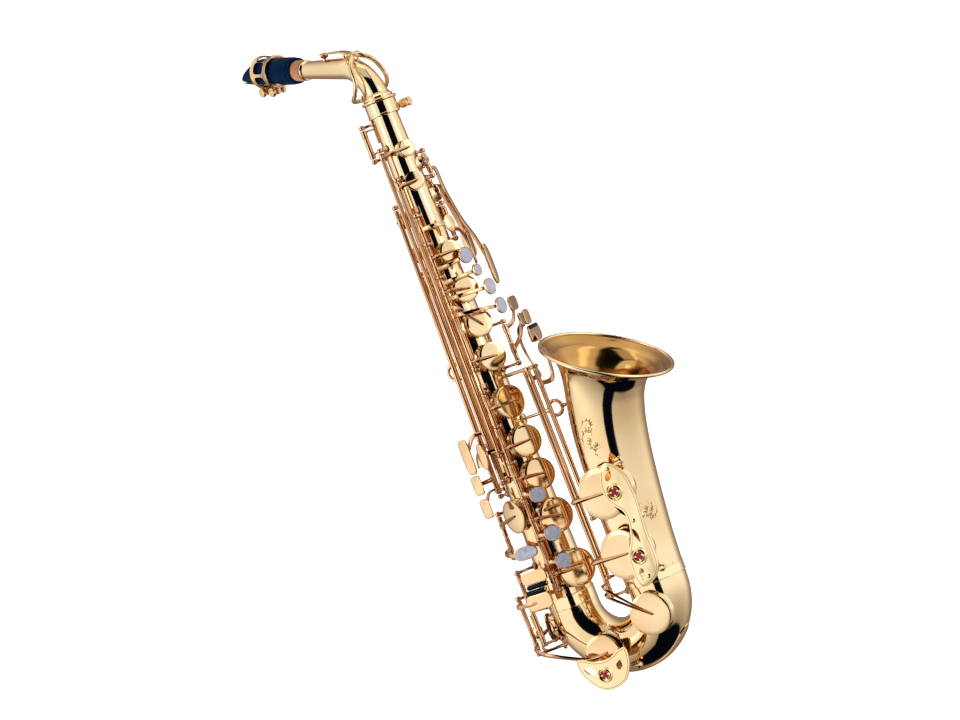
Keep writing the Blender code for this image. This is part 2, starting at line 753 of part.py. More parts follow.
def bell_keys():
    """The keys and levers of the left little finger's table, and the keys the levers work."""
    face = outward(106)
    inner = [Vector((53.2, -8, 206)), Vector((46, 8, 208)), Vector((29.5, 21.5, 228))]
    inner.append(Vector((22.5, 32, 248)))
    outer = [Vector((60, 6, 200)), Vector((50, 24, 222))]
    for name, low, cup_z, turn, height, size, start, route in (
        ("low_b", 12.5, 29, 146, 259.5, (14, 15), 206, inner),
        ("low_bb", 68.5, 88, 138, 242.0, (13, 30), 199, outer),
    ):
        key = Key(name + "_key", name, low, 213.6, -8.0, True)
        key.cup(name, cup_z)
        centre = polar(turn, 52, height)
        key.touch(oval(*size), centre, face, key.at(start), *route)
        key.build()
    key = Key("low_csharp_key", "low_csharp", -5.7, 213.6, -8.0)
    hole = HOLES["low_csharp"]
    top = hole.cup_top() + hole.normal * 0.6
    key.shapes.append(hole.cup())
    for z in (-3.5, 4.5):
        knee = Vector((56, top.y - 1, key.at(z).z))
        key.arm(key.at(z), knee, top, width=3.2, thick=2.2, up=hole.normal)
    key.build()
    key = Key("csharp_lever", "table", 225.4, 243.0)
    key.touch(oval(14, 15), polar(126, 50, 259.5), face, key.at(236), polar(112, 44, 246)).build()
    key = Key("gsharp_lever", "table", 243.4, 261.6)
    key.touch(oval(13, 32), polar(136, 50, 276), face, key.at(257), polar(112, 43, 262)).build()
    Key("gsharp_key", "stack", 178.5, 207.6, lift=-8.0).cup("gsharp", 193).build()


def octave_lever():
    """The thumb's octave key, whose pin stands up beside the socket to push the neck key's ring."""
    key = Key("octave_lever", "octave", 342.4, 467.6)
    key.touch(oval(20, 13), polar(-150, 25, 368), outward(-150), key.at(368), polar(-137, 26, 368))
    foot = polar(-104, 19.4, 462)
    key.arm(key.at(462), foot, width=3.2, thick=2.2, up=Vector((0, 0, 1)))
    key.shapes.append(rod(foot - Vector((0, 0, 2)), polar(-104, 18.6, 507), 1.2))
    key.build()


stack_keys()
side_keys()
palm_keys()
pinky_keys()
bell_keys()
octave_lever()

# ------------------------------------------------ the neck and mouthpiece

BEND = math.radians(NECK_BEND)
NECK_TOP = NECK_BEND_R * math.sin(BEND) + TUBE_LENGTH + NECK_RISE
NECK_DIRECTION = neck_point(math.sin(BEND), 0, math.cos(BEND)).normalized()
NECK_END = neck_point(NECK_BEND_R * (1 - math.cos(BEND)), 0, NECK_TOP) + NECK_DIRECTION * NECK_RUN
NECK_SIDE = neck_point(0, 1, 0)
NECK_UP = NECK_SIDE.cross(NECK_DIRECTION).normalized()
if NECK_UP.z < 0:
    NECK_UP = -NECK_UP


def on_neck(along, side=0.0, up=0.0):
    """A point by the mouthpiece end of the neck. Along is measured from the neck's end."""
    return NECK_END + NECK_DIRECTION * along + NECK_SIDE * side + NECK_UP * up


def neck_tube():
    points = [Vector((0, 0, TUBE_LENGTH + 0.5)), Vector((0, 0, TUBE_LENGTH + NECK_RISE))]
    for k in range(1, 8):
        t = BEND * k / 7
        rise = TUBE_LENGTH + NECK_RISE + NECK_BEND_R * math.sin(t)
        points.append(neck_point(NECK_BEND_R * (1 - math.cos(t)), 0, rise))
    points += [on_neck(-NECK_RUN * 0.6), on_neck(-NECK_RUN * 0.3), on_neck(0)]
    count = len(points) - 1
    radii = [NECK_R_BASE + (NECK_R_END - NECK_R_BASE) * k / count for k in range(count + 1)]
    pivot = on_neck(PIVOT_AT, 0, 13.0)
    collar = disc(Vector((0, 0, TUBE_LENGTH + 9.6)), Vector((0, 0, 1)), 14.2, 3.0, 16)
    shapes = [sweep(points, radii, 16), collar]
    for side in (-1, 1):
        shapes.append(rod(on_neck(PIVOT_AT, side * 7.5, 4), pivot + NECK_SIDE * side * 7.5, 1.3, 6))
        shapes.append(rod(pivot + NECK_SIDE * side * 5.6, pivot + NECK_SIDE * side * 9.2, 2.4))
    shapes.append(rod(on_neck(VENT_AT, 0, 5), on_neck(VENT_AT, 0, 11.2), 2.6, 12))
    vent = rod(on_neck(VENT_AT), on_neck(VENT_AT, 0, 13), 1.3)
    cuts = [pipe_cutter(points, [r - TUBE_WALL for r in radii], 16), vent]
    one("neck_tube", shapes, cuts=cuts)
    return pivot


def octave_key(pivot):
    """The neck's octave key: a pad over the small vent, and a ring that reaches down round the neck."""
    top = on_neck(VENT_AT, 0, 11.5)
    hinge = rod(pivot - NECK_SIDE * 5.2, pivot + NECK_SIDE * 5.2, 2.1)
    arm = bar([pivot, on_neck(VENT_AT - 23, 0, 15.5), top + NECK_UP * 3.6], 4.0, 2.0, NECK_UP)
    loop = [(15.2, 3.4, 546), (9, 4.5, 543.5), (5, 11, 538), (3, 15, 532), (0, 18, 519)]
    loop += [(6, 19, 509), (18.5, 14, 504), (24, 0, 503)]
    shapes = [hinge, arm, sweep([top, top + NECK_UP * 4.4], [4.6, 3.4], 14)]
    for side in (-1, 1):
        branch = [neck_point(along, across * side, z) for along, across, z in loop]
        shapes.append(sweep([*branch, neck_point(24.2, -1.5 * side, 503)], 1.5, 8))
    one("neck_octave_key", shapes, pivot=pivot, axis=NECK_SIDE)


def cork():
    radii = [10.1, 9.8]
    one("neck_cork", [hollow([on_neck(-25), on_neck(-0.4)], radii, 1.4, 24)], CORK)


def mouthpiece():
    """A tapering body with a sloped beak over a flat table, its shank bored for the cork."""
    start = -MOUTHPIECE_START
    stations = (
        (start, 12.6, 12.6, 12.6),
        (start + 4, 13.0, 13.0, 13.0),
        (10, 13.1, 13.1, 13.1),
        (12, 13.2, 13.2, 9.6),
        (40, 13.0, 13.0, 9.6),
        (46, 12.8, 11.6, 9.6),
        (60, 11.4, 3.4, 9.5),
        (75.5, 8.6, -6.6, 8.2),
    )
    rings = []
    for along, radius, top, low in stations:
        ring = []
        for k in range(24):
            t = 2 * math.pi * k / 24
            ring.append(on_neck(along, radius * math.cos(t), max(min(radius * math.sin(t), top), -low)))
        rings.append(ring)
    window = bar([on_neck(40, 0, -9), on_neck(70, 0, -8.6)], 10.0, 9.0, NECK_UP)
    shank = rod(on_neck(start - 2), on_neck(6), 10.5, 20)
    chamber = rod(on_neck(5), on_neck(44, 0, -1), 5.6, 14)
    cuts = [shank, chamber, window]
    one("mouthpiece", [rings_to_solid(rings)], EBONITE, cuts, pivot=on_neck(0), axis=NECK_DIRECTION)
    reed = [
        [on_neck(14, w, u) for w, u in ((-6.5, -9.9), (6.5, -9.9), (5.5, -12.9), (-5.5, -12.9))],
        [on_neck(48, w, u) for w, u in ((-6.6, -9.9), (6.6, -9.9), (5.6, -12.9), (-5.6, -12.9))],
        [on_neck(74.0, w, u) for w, u in ((-6.4, -9.2), (6.4, -9.2), (6.4, -9.8), (-6.4, -9.8))],
    ]
    one("reed", [rings_to_solid(reed)], CANE)


def ligature():
    """The band that holds the reed, with two windows and two screws below."""
    shapes = [hollow([on_neck(20), on_neck(46)], [15.9, 15.9], 1.3, 28)]
    lug = on_neck(33, 0, -17.6)
    for side in (-1, 1):
        shapes.append(bar([lug + NECK_SIDE * side * 3.2 - NECK_DIRECTION * 13,
                           lug + NECK_SIDE * side * 3.2 + NECK_DIRECTION * 13], 3.0, 7.0, NECK_UP))
    cuts = [bar([on_neck(33, w, 0), on_neck(33, w * 6, 0)], 16.0, 13.0, NECK_UP) for w in (-5, 5)]
    for along in (25, 41):
        cuts.append(rod(on_neck(along, -8, -18.2), on_neck(along, 8, -18.2), 1.7, 10))
    one("ligature", shapes, cuts=cuts)
    for number, along in enumerate((25, 41), start=1):
        shapes = [
            rod(on_neck(along, -6.5, -18.2), on_neck(along, 11, -18.2), 1.3, 8),
            disc(on_neck(along, 9, -18.2), NECK_SIDE, 4.6, 4.0, 14),
        ]
        one(f"ligature_screw_{number}", shapes, pivot=on_neck(along, 0, -18.2), axis=NECK_SIDE)


octave_key(neck_tube())
cork()
mouthpiece()
ligature()
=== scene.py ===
"""The looks of the alto saxophone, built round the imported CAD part.

Lengths are millimetres in the design frame, whose Z axis is the body tube's and whose z = 0 is where the
tube meets the bow. mesh_of() turns them into the row frame, whose origin is the strap ring's centre.
"""

import math
import random

import bmesh
import bpy
from mathutils import Matrix, Vector
from mathutils.bvhtree import BVHTree


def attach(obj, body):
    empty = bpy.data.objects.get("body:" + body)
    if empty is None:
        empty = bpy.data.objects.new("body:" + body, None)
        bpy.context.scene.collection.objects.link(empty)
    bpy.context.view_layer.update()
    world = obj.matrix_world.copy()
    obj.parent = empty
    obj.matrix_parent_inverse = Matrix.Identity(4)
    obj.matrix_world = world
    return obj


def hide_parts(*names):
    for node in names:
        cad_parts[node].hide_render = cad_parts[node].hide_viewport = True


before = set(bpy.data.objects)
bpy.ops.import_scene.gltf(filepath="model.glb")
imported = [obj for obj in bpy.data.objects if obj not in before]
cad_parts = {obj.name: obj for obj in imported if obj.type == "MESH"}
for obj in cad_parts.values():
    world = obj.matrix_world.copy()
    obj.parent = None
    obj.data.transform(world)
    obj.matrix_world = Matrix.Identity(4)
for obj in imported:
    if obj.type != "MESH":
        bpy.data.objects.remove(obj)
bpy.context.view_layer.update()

MM = 0.001
STRAP_RING = Vector((-29.0, 0.0, 235.0))
TO_ROW = Matrix.Scale(MM, 4) @ Matrix.Translation(-STRAP_RING)
X, Y, Z = Vector((1, 0, 0)), Vector((0, 1, 0)), Vector((0, 0, 1))

# ---------------------------------------------------------------- the CAD's own dimensions
GAP = 0.3
TUBE_LENGTH = 489.0
TUBE_R_LOW, TUBE_R_TOP = 23.0, 12.4
TUBE_WALL, BELL_WALL = 0.9, 1.0
BELL_X = 91.0
BOW_STRAIGHT = 12.0
BOW_R_BODY, BOW_R_BELL = 23.2, 28.4
BOW_BEND_R = BELL_X / 2
# x, z and radius up the bell's curved axis
BELL_STATIONS = (
    (91.0, 1.3, 28.6), (92.0, 35.0, 29.8), (94.5, 72.0, 31.3), (98.0, 110.0, 33.0), (103.0, 143.0, 34.6),
    (109.0, 166.0, 36.0), (114.0, 179.5, 38.0), (118.2, 188.8, 41.2), (121.2, 194.8, 45.6),
                 (123.4, 198.6, 51.0),
    (124.9, 201.2, 57.0), (126.0, 203.0, 61.5),
)
BELL_LEAN = 32.0
NECK_TURN, NECK_RISE, NECK_BEND_R, NECK_BEND, NECK_RUN = 24.0, 8.7, 40.0, 76.0, 89.2
# The octave key's pivot and the vent, measured along the neck from its mouthpiece end
PIVOT_AT, VENT_AT = -101.5, -59.5
NECK_R_BASE, NECK_R_END = 11.9, 7.6
MOUTHPIECE_START = 12.5
CHIMNEY, CUP_RIM, CUP_THICK = 4.0, 1.2, 3.8
HINGE_R, BARREL, PEARL_R = 2.3, 1.9, 7.2

# ---------------------------------------------------------------- materials


class Nodes:
    """A node material under construction, with short calls for the nodes the finishes share."""

    def __init__(self, name):
        self.made = bpy.data.materials.new(name)
        self.made.use_nodes = True
        self.tree = self.made.node_tree
        self.shader = self.tree.nodes["Principled BSDF"]
        self.where = self.add("ShaderNodeTexCoord").outputs["Object"]

    def add(self, kind, **values):
        node = self.tree.nodes.new(kind)
        for key, value in values.items():
            setattr(node, key, value)
        return node

    def link(self, source, target):
        self.tree.links.new(source, target)

    def noise(self, scale, detail=3.0, stretch=None):
        node = self.add("ShaderNodeTexNoise")
        node.inputs["Scale"].default_value = scale
        node.inputs["Detail"].default_value = detail
        source = self.where
        if stretch:
            mapping = self.add("ShaderNodeMapping")
            mapping.inputs["Scale"].default_value = stretch
            self.link(source, mapping.inputs["Vector"])
            source = mapping.outputs["Vector"]
        self.link(source, node.inputs["Vector"])
        return node.outputs["Fac"]

    def ramp(self, source, stops):
        node = self.add("ShaderNodeValToRGB")
        elements = node.color_ramp.elements
        while len(elements) < len(stops):
            elements.new(0.5)
        for element, (at, colour) in zip(elements, stops):
            element.position = at
            element.color = (*colour, 1.0)
        self.link(source, node.inputs["Fac"])
        return node.outputs["Color"]

    def spread(self, source, low, high, start=0.3, end=0.7):
        node = self.add("ShaderNodeMapRange")
        node.inputs["From Min"].default_value = start
        node.inputs["From Max"].default_value = end
        node.inputs["To Min"].default_value = low
        node.inputs["To Max"].default_value = high
        self.link(source, node.inputs["Value"])
        return node.outputs["Result"]

    def mix(self, fac, first, second, kind="MIX"):
        node = self.add("ShaderNodeMix", data_type="RGBA", blend_type=kind)
        for socket, value in ((node.inputs[0], fac), (node.inputs[6], first), (node.inputs[7], second)):
            if isinstance(value, (int, float)):
                socket.default_value = value
            elif isinstance(value, tuple):
                socket.default_value = (*value, 1.0)
            else:
                self.link(value, socket)
        return node.outputs[2]

    def bump(self, source, strength, distance):
        node = self.add("ShaderNodeBump")
        node.inputs["Strength"].default_value = strength
        node.inputs["Distance"].default_value = distance
        self.link(source, node.inputs["Height"])
        self.link(node.outputs["Normal"], self.shader.inputs["Normal"])

    def colour(self, source):
        self.link(source, self.shader.inputs["Base Color"])

    def rough(self, source):
        self.link(source, self.shader.inputs["Roughness"])

    def fixed(self, **values):
        names = {"metallic": "Metallic", "coat": "Coat Weight", "coat_rough": "Coat Roughness",
                 "ior": "IOR",
                 "sheen": "Sheen Weight", "roughness": "Roughness", "specular": "Specular IOR Level",
                 "tint": "Specular Tint"}
        for key, value in values.items():
            self.shader.inputs[names[key]].default_value = value
        return self


def lacquer(name, light, deep, rough_low, rough_high):
    """Clear-lacquered brass: a warm cast that drifts over the metal, fine swirl scratches and a thin coat."""
    nodes = Nodes(name).fixed(metallic=1.0, coat=0.35, coat_rough=0.05)
    cast = nodes.ramp(nodes.noise(14.0, 4.0), ((0.35, deep), (0.65, light)))
    specks = nodes.spread(nodes.noise(900.0, 2.0), 0.0, 1.0, 0.72, 0.78)
    nodes.colour(nodes.mix(specks, cast, tuple(0.55 * c for c in deep)))
    smears = nodes.noise(45.0, 5.0, (1.0, 1.0, 0.4))
    nodes.rough(nodes.spread(smears, rough_low, rough_high))
    nodes.bump(nodes.noise(2200.0, 2.0, (1.0, 1.0, 0.15)), 0.035, 0.0002)
    return nodes.made


def plain(name, light, deep, scale, rough, bump_scale, bump_strength, **fixed):
    nodes = Nodes(name).fixed(**fixed)
    nodes.colour(nodes.ramp(nodes.noise(scale, 5.0), ((0.35, deep), (0.65, light))))
    nodes.rough(nodes.spread(nodes.noise(scale * 3), rough[0], rough[1]))
    nodes.bump(nodes.noise(bump_scale, 4.0), bump_strength, 0.0004)
    return nodes.made


def cork_finish():
    nodes = Nodes("cork").fixed(roughness=0.8)
    grains = nodes.add("ShaderNodeTexVoronoi")
    grains.inputs["Scale"].default_value = 1500.0
    nodes.link(nodes.where, grains.inputs["Vector"])
    base = nodes.ramp(grains.outputs["Distance"], ((0.1, (0.34, 0.13, 0.06)), (0.6, (0.62, 0.29, 0.15))))
    pits = nodes.spread(nodes.noise(1400.0, 3.0), 0.0, 1.0, 0.62, 0.68)
    nodes.colour(nodes.mix(pits, base, (0.16, 0.06, 0.03)))
    nodes.bump(grains.outputs["Distance"], 0.5, 0.0002)
    return nodes.made


def cane_finish():
    nodes = Nodes("cane").fixed(roughness=0.5)
    fibres = nodes.noise(1600.0, 3.0, (0.08, 1.0, 1.0))
    nodes.colour(nodes.ramp(fibres, ((0.3, (0.62, 0.42, 0.17)), (0.7, (0.90, 0.74, 0.44)))))
    nodes.bump(fibres, 0.25, 0.0002)
    return nodes.made


def pearl_finish():
    """Mother-of-pearl: bands of pink, lilac and grey under a hard polish."""
    nodes = Nodes("pearl").fixed(roughness=0.12, coat=1.0, coat_rough=0.03, specular=0.7)
    bands = nodes.noise(160.0, 6.0, (1.0, 1.6, 0.7))
    stops = ((0.3, (0.30, 0.28, 0.34)), (0.45, (0.50, 0.46, 0.52)), (0.55, (0.38, 0.38, 0.46)),
             (0.7, (0.58, 0.55, 0.60)))
    nodes.colour(nodes.ramp(bands, stops))
    nodes.bump(bands, 0.1, 0.0003)
    return nodes.made


LACQUER = lacquer("body_lacquer", (0.98, 0.77, 0.46), (0.94, 0.68, 0.36), 0.04, 0.11)
KEY_LACQUER = lacquer("key_lacquer", (0.95, 0.72, 0.42), (0.88, 0.58, 0.30), 0.05, 0.14)
# Rods, posts and key arms: a darker, redder copy of the lacquer, painted shade for the shade among the
# mechanism
ROD_SHADE_LACQUER = lacquer("rod_lacquer_painted_shade", (0.84, 0.53, 0.29), (0.70, 0.38, 0.18), 0.06, 0.16)
# The bell's inner faces: a darker copy of the lacquer, painted shade inside the bell
BELL_INSIDE_SHADE = lacquer("bell_inside_painted_shade", (0.68, 0.39, 0.13), (0.48, 0.24, 0.06), 0.12, 0.24)
# The inside of the tube, bow and neck: a dark copy of the lacquer, painted shade inside the bore
BORE_SHADE = lacquer("bore_painted_shade", (0.30, 0.17, 0.07), (0.18, 0.09, 0.04), 0.35, 0.5)
STEEL = plain("blued_steel", (0.55, 0.56, 0.60), (0.35, 0.36, 0.42), 300.0, (0.15, 0.3), 2500.0, 0.05,
              metallic=1.0)
EBONITE = plain("ebonite", (0.0015, 0.022, 0.062), (0.001, 0.014, 0.042), 60.0, (0.22, 0.36), 1800.0, 0.04,
                specular=0.05, tint=(0.1, 0.5, 1.0, 1.0))
PAD = plain("pad_leather", (0.30, 0.05, 0.03), (0.14, 0.025, 0.02), 220.0, (0.45, 0.7), 1500.0, 0.4,
            sheen=0.2)
FELT = plain("felt", (0.40, 0.02, 0.03), (0.22, 0.01, 0.02), 700.0, (0.85, 1.0), 2600.0, 0.8, sheen=0.6)
ROLLER = plain("roller", (0.006, 0.007, 0.010), (0.003, 0.003, 0.005), 100.0, (0.2, 0.35), 1500.0, 0.03,
               specular=0.25)
CORK, CANE, PEARL = cork_finish(), cane_finish(), pearl_finish()
# The engraved lines are real grooves; their dark colour is painted shade in the cuts
ENGRAVING_SHADE = lacquer("engraving_painted_shade", (0.42, 0.22, 0.08), (0.28, 0.14, 0.05), 0.4, 0.55)

# ---------------------------------------------------------------- points and lines


def polar(angle, radius, z):
    """A point round the body tube. 0 degrees is the player's right, 90 is the front and 180 the left."""
    turn = math.radians(angle)
    return Vector((radius * math.sin(turn), -radius * math.cos(turn), z))


def outward(angle):
    return polar(angle, 1.0, 0.0)


def tube_r(z):
    return TUBE_R_LOW + (TUBE_R_TOP - TUBE_R_LOW) * z / TUBE_LENGTH


def at_height(line, z):
    low, high = line
    return low.lerp(high, (z - low.z) / (high.z - low.z))


def neck_point(along, side, z):
    turn = math.radians(NECK_TURN)
    return (Vector((-math.cos(turn), math.sin(turn), 0)) * along
            + Vector((-math.sin(turn), -math.cos(turn), 0)) * side + Vector((0, 0, z)))


def curve_through(points, steps=6, closed=False):
    """A smooth Catmull-Rom path through the points, steps to a span. Works on vectors of any length."""
    points = [Vector(p) for p in points]
    count = len(points)
    spans = count if closed else count - 1
    path = []
    for i in range(spans):
        if closed:
            a, b, c, d = (points[(i + k) % count] for k in (-1, 0, 1, 2))
        else:
            b, c = points[i], points[i + 1]
            a = points[i - 1] if i > 0 else b * 2 - c
            d = points[i + 2] if i + 2 < count else c * 2 - b
        for k in range(steps):
            t = k / steps
            path.append(0.5 * (2 * b + (c - a) * t + (2 * a - 5 * b + 4 * c - d) * t * t
                               + (3 * b - a - 3 * c + d) * t ** 3))
    if not closed:
        path.append(points[-1])
    return path


# ---------------------------------------------------------------- shapes, as (points, faces)


def frames_along(points, closed=False):
    count = len(points)
    tangents = []
    for i in range(count):
        before = points[(i - 1) % count] if closed or i > 0 else points[i]
        after = points[(i + 1) % count] if closed or i < count - 1 else points[i]
        tangents.append((after - before).normalized())
    first = tangents[0].orthogonal().normalized()
    frames = []
    for tangent in tangents:
        first = (first - tangent * first.dot(tangent)).normalized()
        frames.append((first.copy(), tangent.cross(first)))
    return frames


def skin(rings, closed=False, caps=True):
    size = len(rings[0])
    points = [p for ring in rings for p in ring]
    faces = []
    for i in range(len(rings) if closed else len(rings) - 1):
        a, b = i * size, ((i + 1) % len(rings)) * size
        faces += [(a + k, a + (k + 1) % size, b + (k + 1) % size, b + k) for k in range(size)]
    if caps and not closed:
        faces.append(tuple(reversed(range(size))))
        faces.append(tuple(range(len(points) - size, len(points))))
    return points, faces


def sweep(points, radii, sides=16, closed=False, caps=True):
    if isinstance(radii, (int, float)):
        radii = [radii] * len(points)
    turns = [2 * math.pi * k / sides for k in range(sides)]
    rings = []
    for point, radius, (u, v) in zip(points, radii, frames_along(points, closed)):
        rings.append([point + (u * math.cos(t) + v * math.sin(t)) * radius for t in turns])
    return skin(rings, closed, caps)


def lathe(profile, origin, axis, sides=32, closed=False):
    """A turned solid: the profile is (radius, height) pairs along the axis."""
    axis = axis.normalized()
    u = axis.orthogonal().normalized()
    v = axis.cross(u)
    turns = [2 * math.pi * k / sides for k in range(sides)]
    rings = [[origin + axis * h + (u * math.cos(t) + v * math.sin(t)) * max(r, 0.01) for t in turns]
             for r, h in profile]
    return skin(rings, closed)


def rod(start, end, radius, sides=16, edge=0.25):
    """A round bar with softened ends."""
    axis = end - start
    length = axis.length
    edge = min(edge, radius * 0.5, length * 0.3)
    profile = [(radius - edge, 0), (radius, edge), (radius, length - edge), (radius - edge, length)]
    return lathe(profile, start, axis, sides)


def limb(points, widths, thicks, up, steps=5, round_by=0.6):
    """A smooth arm. Widths and thicknesses run from its first end to its last.

    Its section is nearly a rectangle at the default round_by, an ellipse at 1 and a ridge at 1.8.
    """
    path = curve_through(points, steps)
    side = (points[-1] - points[0]).cross(up).normalized()
    rings = []
    count = len(path) - 1
    for i, point in enumerate(path):
        along = path[min(i + 1, count)] - path[max(i - 1, 0)]
        lift = side.cross(along).normalized()
        share = i / count
        w = (widths[0] + (widths[1] - widths[0]) * share) / 2
        h = (thicks[0] + (thicks[1] - thicks[0]) * share) / 2
        ring = []
        for k in range(12):
            t = 2 * math.pi * k / 12
            c, s = math.cos(t), math.sin(t)
            ring.append(point + side * (w * math.copysign(abs(c) ** round_by, c))
                        + lift * (h * math.copysign(abs(s) ** round_by, s)))
        rings.append(ring)
    return skin(rings)


def slab(outline, origin, across, up, thick, edge=0.5, crown=0.0):
    """A plate with rounded edges. The outline's coordinates run along across and up."""
    normal = across.cross(up).normalized()
    mid_a = sum(p[0] for p in outline) / len(outline)
    mid_b = sum(p[1] for p in outline) / len(outline)
    half = thick / 2
    rings = []
    for inset, height in ((edge, -half), (edge * 0.3, -half + edge * 0.3), (0, -half + edge),
                          (0, half - edge),
                          (edge * 0.3, half - edge * 0.3), (edge, half), (edge * 1.6, half + crown * 0.12),
                          (None, half + crown)):
        ring = []
        for a, b in outline:
            da, db = a - mid_a, b - mid_b
            length = math.hypot(da, db)
            share = 0.45 if inset is None else (length - inset) / length
            ring.append(origin + across * (mid_a + da * share) + up * (mid_b + db * share) + normal * height)
        rings.append(ring)
    return skin(rings)


def oval(length, width, count=28, power=1.0):
    turns = [2 * math.pi * k / count for k in range(count)]
    return [(math.copysign(abs(math.cos(t)) ** power, math.cos(t)) * length / 2,
             math.copysign(abs(math.sin(t)) ** power, math.sin(t)) * width / 2) for t in turns]


def ring_round(centre, normal, radius, thick, count=40, sides=12):
    u = normal.orthogonal().normalized()
    v = normal.cross(u)
    turns = [2 * math.pi * k / count for k in range(count)]
    return sweep([centre + (u * math.cos(t) + v * math.sin(t)) * radius for t in turns], thick, sides, True)


# ---------------------------------------------------------------- pieces


def mesh_of(name, shapes, matrix=None):
    """One mesh, in the row frame, of shapes that keep their own material numbers."""
    points, faces, finish = [], [], []
    for index, shape in shapes:
        start = len(points)
        points += shape[0]
        faces += [tuple(start + k for k in face) for face in shape[1]]
        finish += [index] * len(shape[1])
    whole = TO_ROW @ matrix if matrix else TO_ROW
    mesh = bpy.data.meshes.new(name)
    mesh.from_pydata([whole @ p for p in points], [], faces)
    mesh.polygons.foreach_set("material_index", finish)
    edit = bmesh.new()
    edit.from_mesh(mesh)
    bmesh.ops.recalc_face_normals(edit, faces=edit.faces)
    edit.to_mesh(mesh)
    edit.free()
    return mesh


def piece(name, body, mesh, finishes, replaced=(), angle=35):
    made = bpy.data.objects.new(name, mesh)
    bpy.context.scene.collection.objects.link(made)
    for finish in finishes:
        mesh.materials.append(finish)
    if angle is not None:
        mesh.shade_smooth()
        mesh.set_sharp_from_angle(angle=math.radians(angle))
    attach(made, body)
    if replaced:
        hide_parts(*replaced)
    return made


def simple(name, body, shapes, finish, replaced=(), matrix=None, angle=35):
    """A piece of one finish."""
    return piece(name, body, mesh_of(name, [(0, s) for s in shapes], matrix), [finish], replaced,
                 angle=angle)


def combine(name, base, cuts):
    """The base mesh less the cut meshes, as a new mesh."""
    helpers = []
    for mesh in (base, *cuts):
        helper = bpy.data.objects.new("helper", mesh)
        bpy.context.scene.collection.objects.link(helper)
        helpers.append(helper)
    for helper in helpers[1:]:
        cut = helpers[0].modifiers.new("cut", "BOOLEAN")
        cut.object = helper
        cut.operation = "DIFFERENCE"
    bpy.context.view_layer.update()
    graph = bpy.context.evaluated_depsgraph_get()
    mesh = bpy.data.meshes.new_from_object(helpers[0].evaluated_get(graph))
    mesh.name = name
    for helper in helpers:
        bpy.data.objects.remove(helper, do_unlink=True)
    return mesh


def keep_curves(mesh, reference):
    """Gives a cut mesh the smooth normals of the uncut one, so holes leave no ripple in its reflections."""
    reference.shade_smooth()
    points = [v.co.copy() for v in reference.vertices]
    normals = [v.normal.copy() for v in reference.vertices]
    polygons = [tuple(p.vertices) for p in reference.polygons]
    tree = BVHTree.FromPolygons(points, polygons)
    mesh.shade_smooth()
    mesh.set_sharp_from_angle(angle=math.radians(35))
    found = [Vector(n.vector) for n in mesh.corner_normals]
    for polygon in mesh.polygons:
        for loop in polygon.loop_indices:
            spot = mesh.vertices[mesh.loops[loop].vertex_index].co
            _, flat, index, distance = tree.find_nearest(spot)
            if distance > 2e-5 or abs(flat.dot(polygon.normal)) < 0.94:
                continue
            corners = polygons[index]
            weights = [1.0 / ((points[c] - spot).length + 1e-7) ** 2 for c in corners]
            smooth = sum((normals[c] * w for c, w in zip(corners, weights)), Vector()).normalized()
            found[loop] = smooth if smooth.dot(polygon.normal) > 0 else -smooth
    mesh.normals_split_custom_set(found)


# ---------------------------------------------------------------- tone holes and hinge lines, as in the CAD


class Hole:
    """A tone hole: foot is on the bore's axis, and rim is how far out along normal its rim stands."""

    def __init__(self, foot, normal, rim, cup_r):
        self.foot, self.normal, self.rim, self.cup_r = foot, normal.normalized(), rim, cup_r
        self.outer = cup_r - CUP_RIM

    def chimney(self):
        """The drawn tone hole: a wall that sweeps up from the tube to a rolled rim."""
        wall, rim = self.outer, self.rim
        profile = [(wall + 1.6, rim - CHIMNEY - 2.2), (wall + 0.5, rim - CHIMNEY - 0.2),
                   (wall - 0.1, rim - 2.2),
                   (wall - 0.1, rim - 0.9), (wall, rim - 0.4), (wall - 0.2, rim - 0.06), (wall - 0.7, rim),
                   (wall - 1.2, rim - 0.1), (wall - 1.4, rim - 0.5), (wall - 1.5, rim - CHIMNEY - 2.0)]
        return lathe(profile, self.foot, self.normal, 48, closed=True)

    def cutter(self):
        return rod(self.foot, self.foot + self.normal * (self.rim + 3), self.outer - 1.0, 48)

    def seat(self):
        return self.foot + self.normal * (self.rim + GAP)

    def cup_top(self):
        return self.seat() + self.normal * CUP_THICK


def tube_hole(angle, z, cup_r):
    return Hole(Vector((0, 0, z)), outward(angle), tube_r(z) + CHIMNEY, cup_r)


def bow_point(turn):
    t = math.radians(turn)
    return Vector((BOW_BEND_R * (1 - math.cos(t)), 0, -BOW_STRAIGHT - BOW_BEND_R * math.sin(t)))


def bow_hole(turn, normal, cup_r):
    return Hole(bow_point(turn), normal, BOW_R_BODY + (BOW_R_BELL - BOW_R_BODY) * turn / 180 + CHIMNEY,
                cup_r)


def bell_at(z):
    for (x0, z0, r0), (x1, z1, r1) in zip(BELL_STATIONS, BELL_STATIONS[1:]):
        if z <= z1:
            share = (z - z0) / (z1 - z0)
            return x0 + (x1 - x0) * share, r0 + (r1 - r0) * share
    return BELL_STATIONS[-1][0], BELL_STATIONS[-1][2]


def bell_hole(z, cup_r):
    x, radius = bell_at(z)
    return Hole(Vector((x, 0, z)), outward(2), radius + CHIMNEY, cup_r)


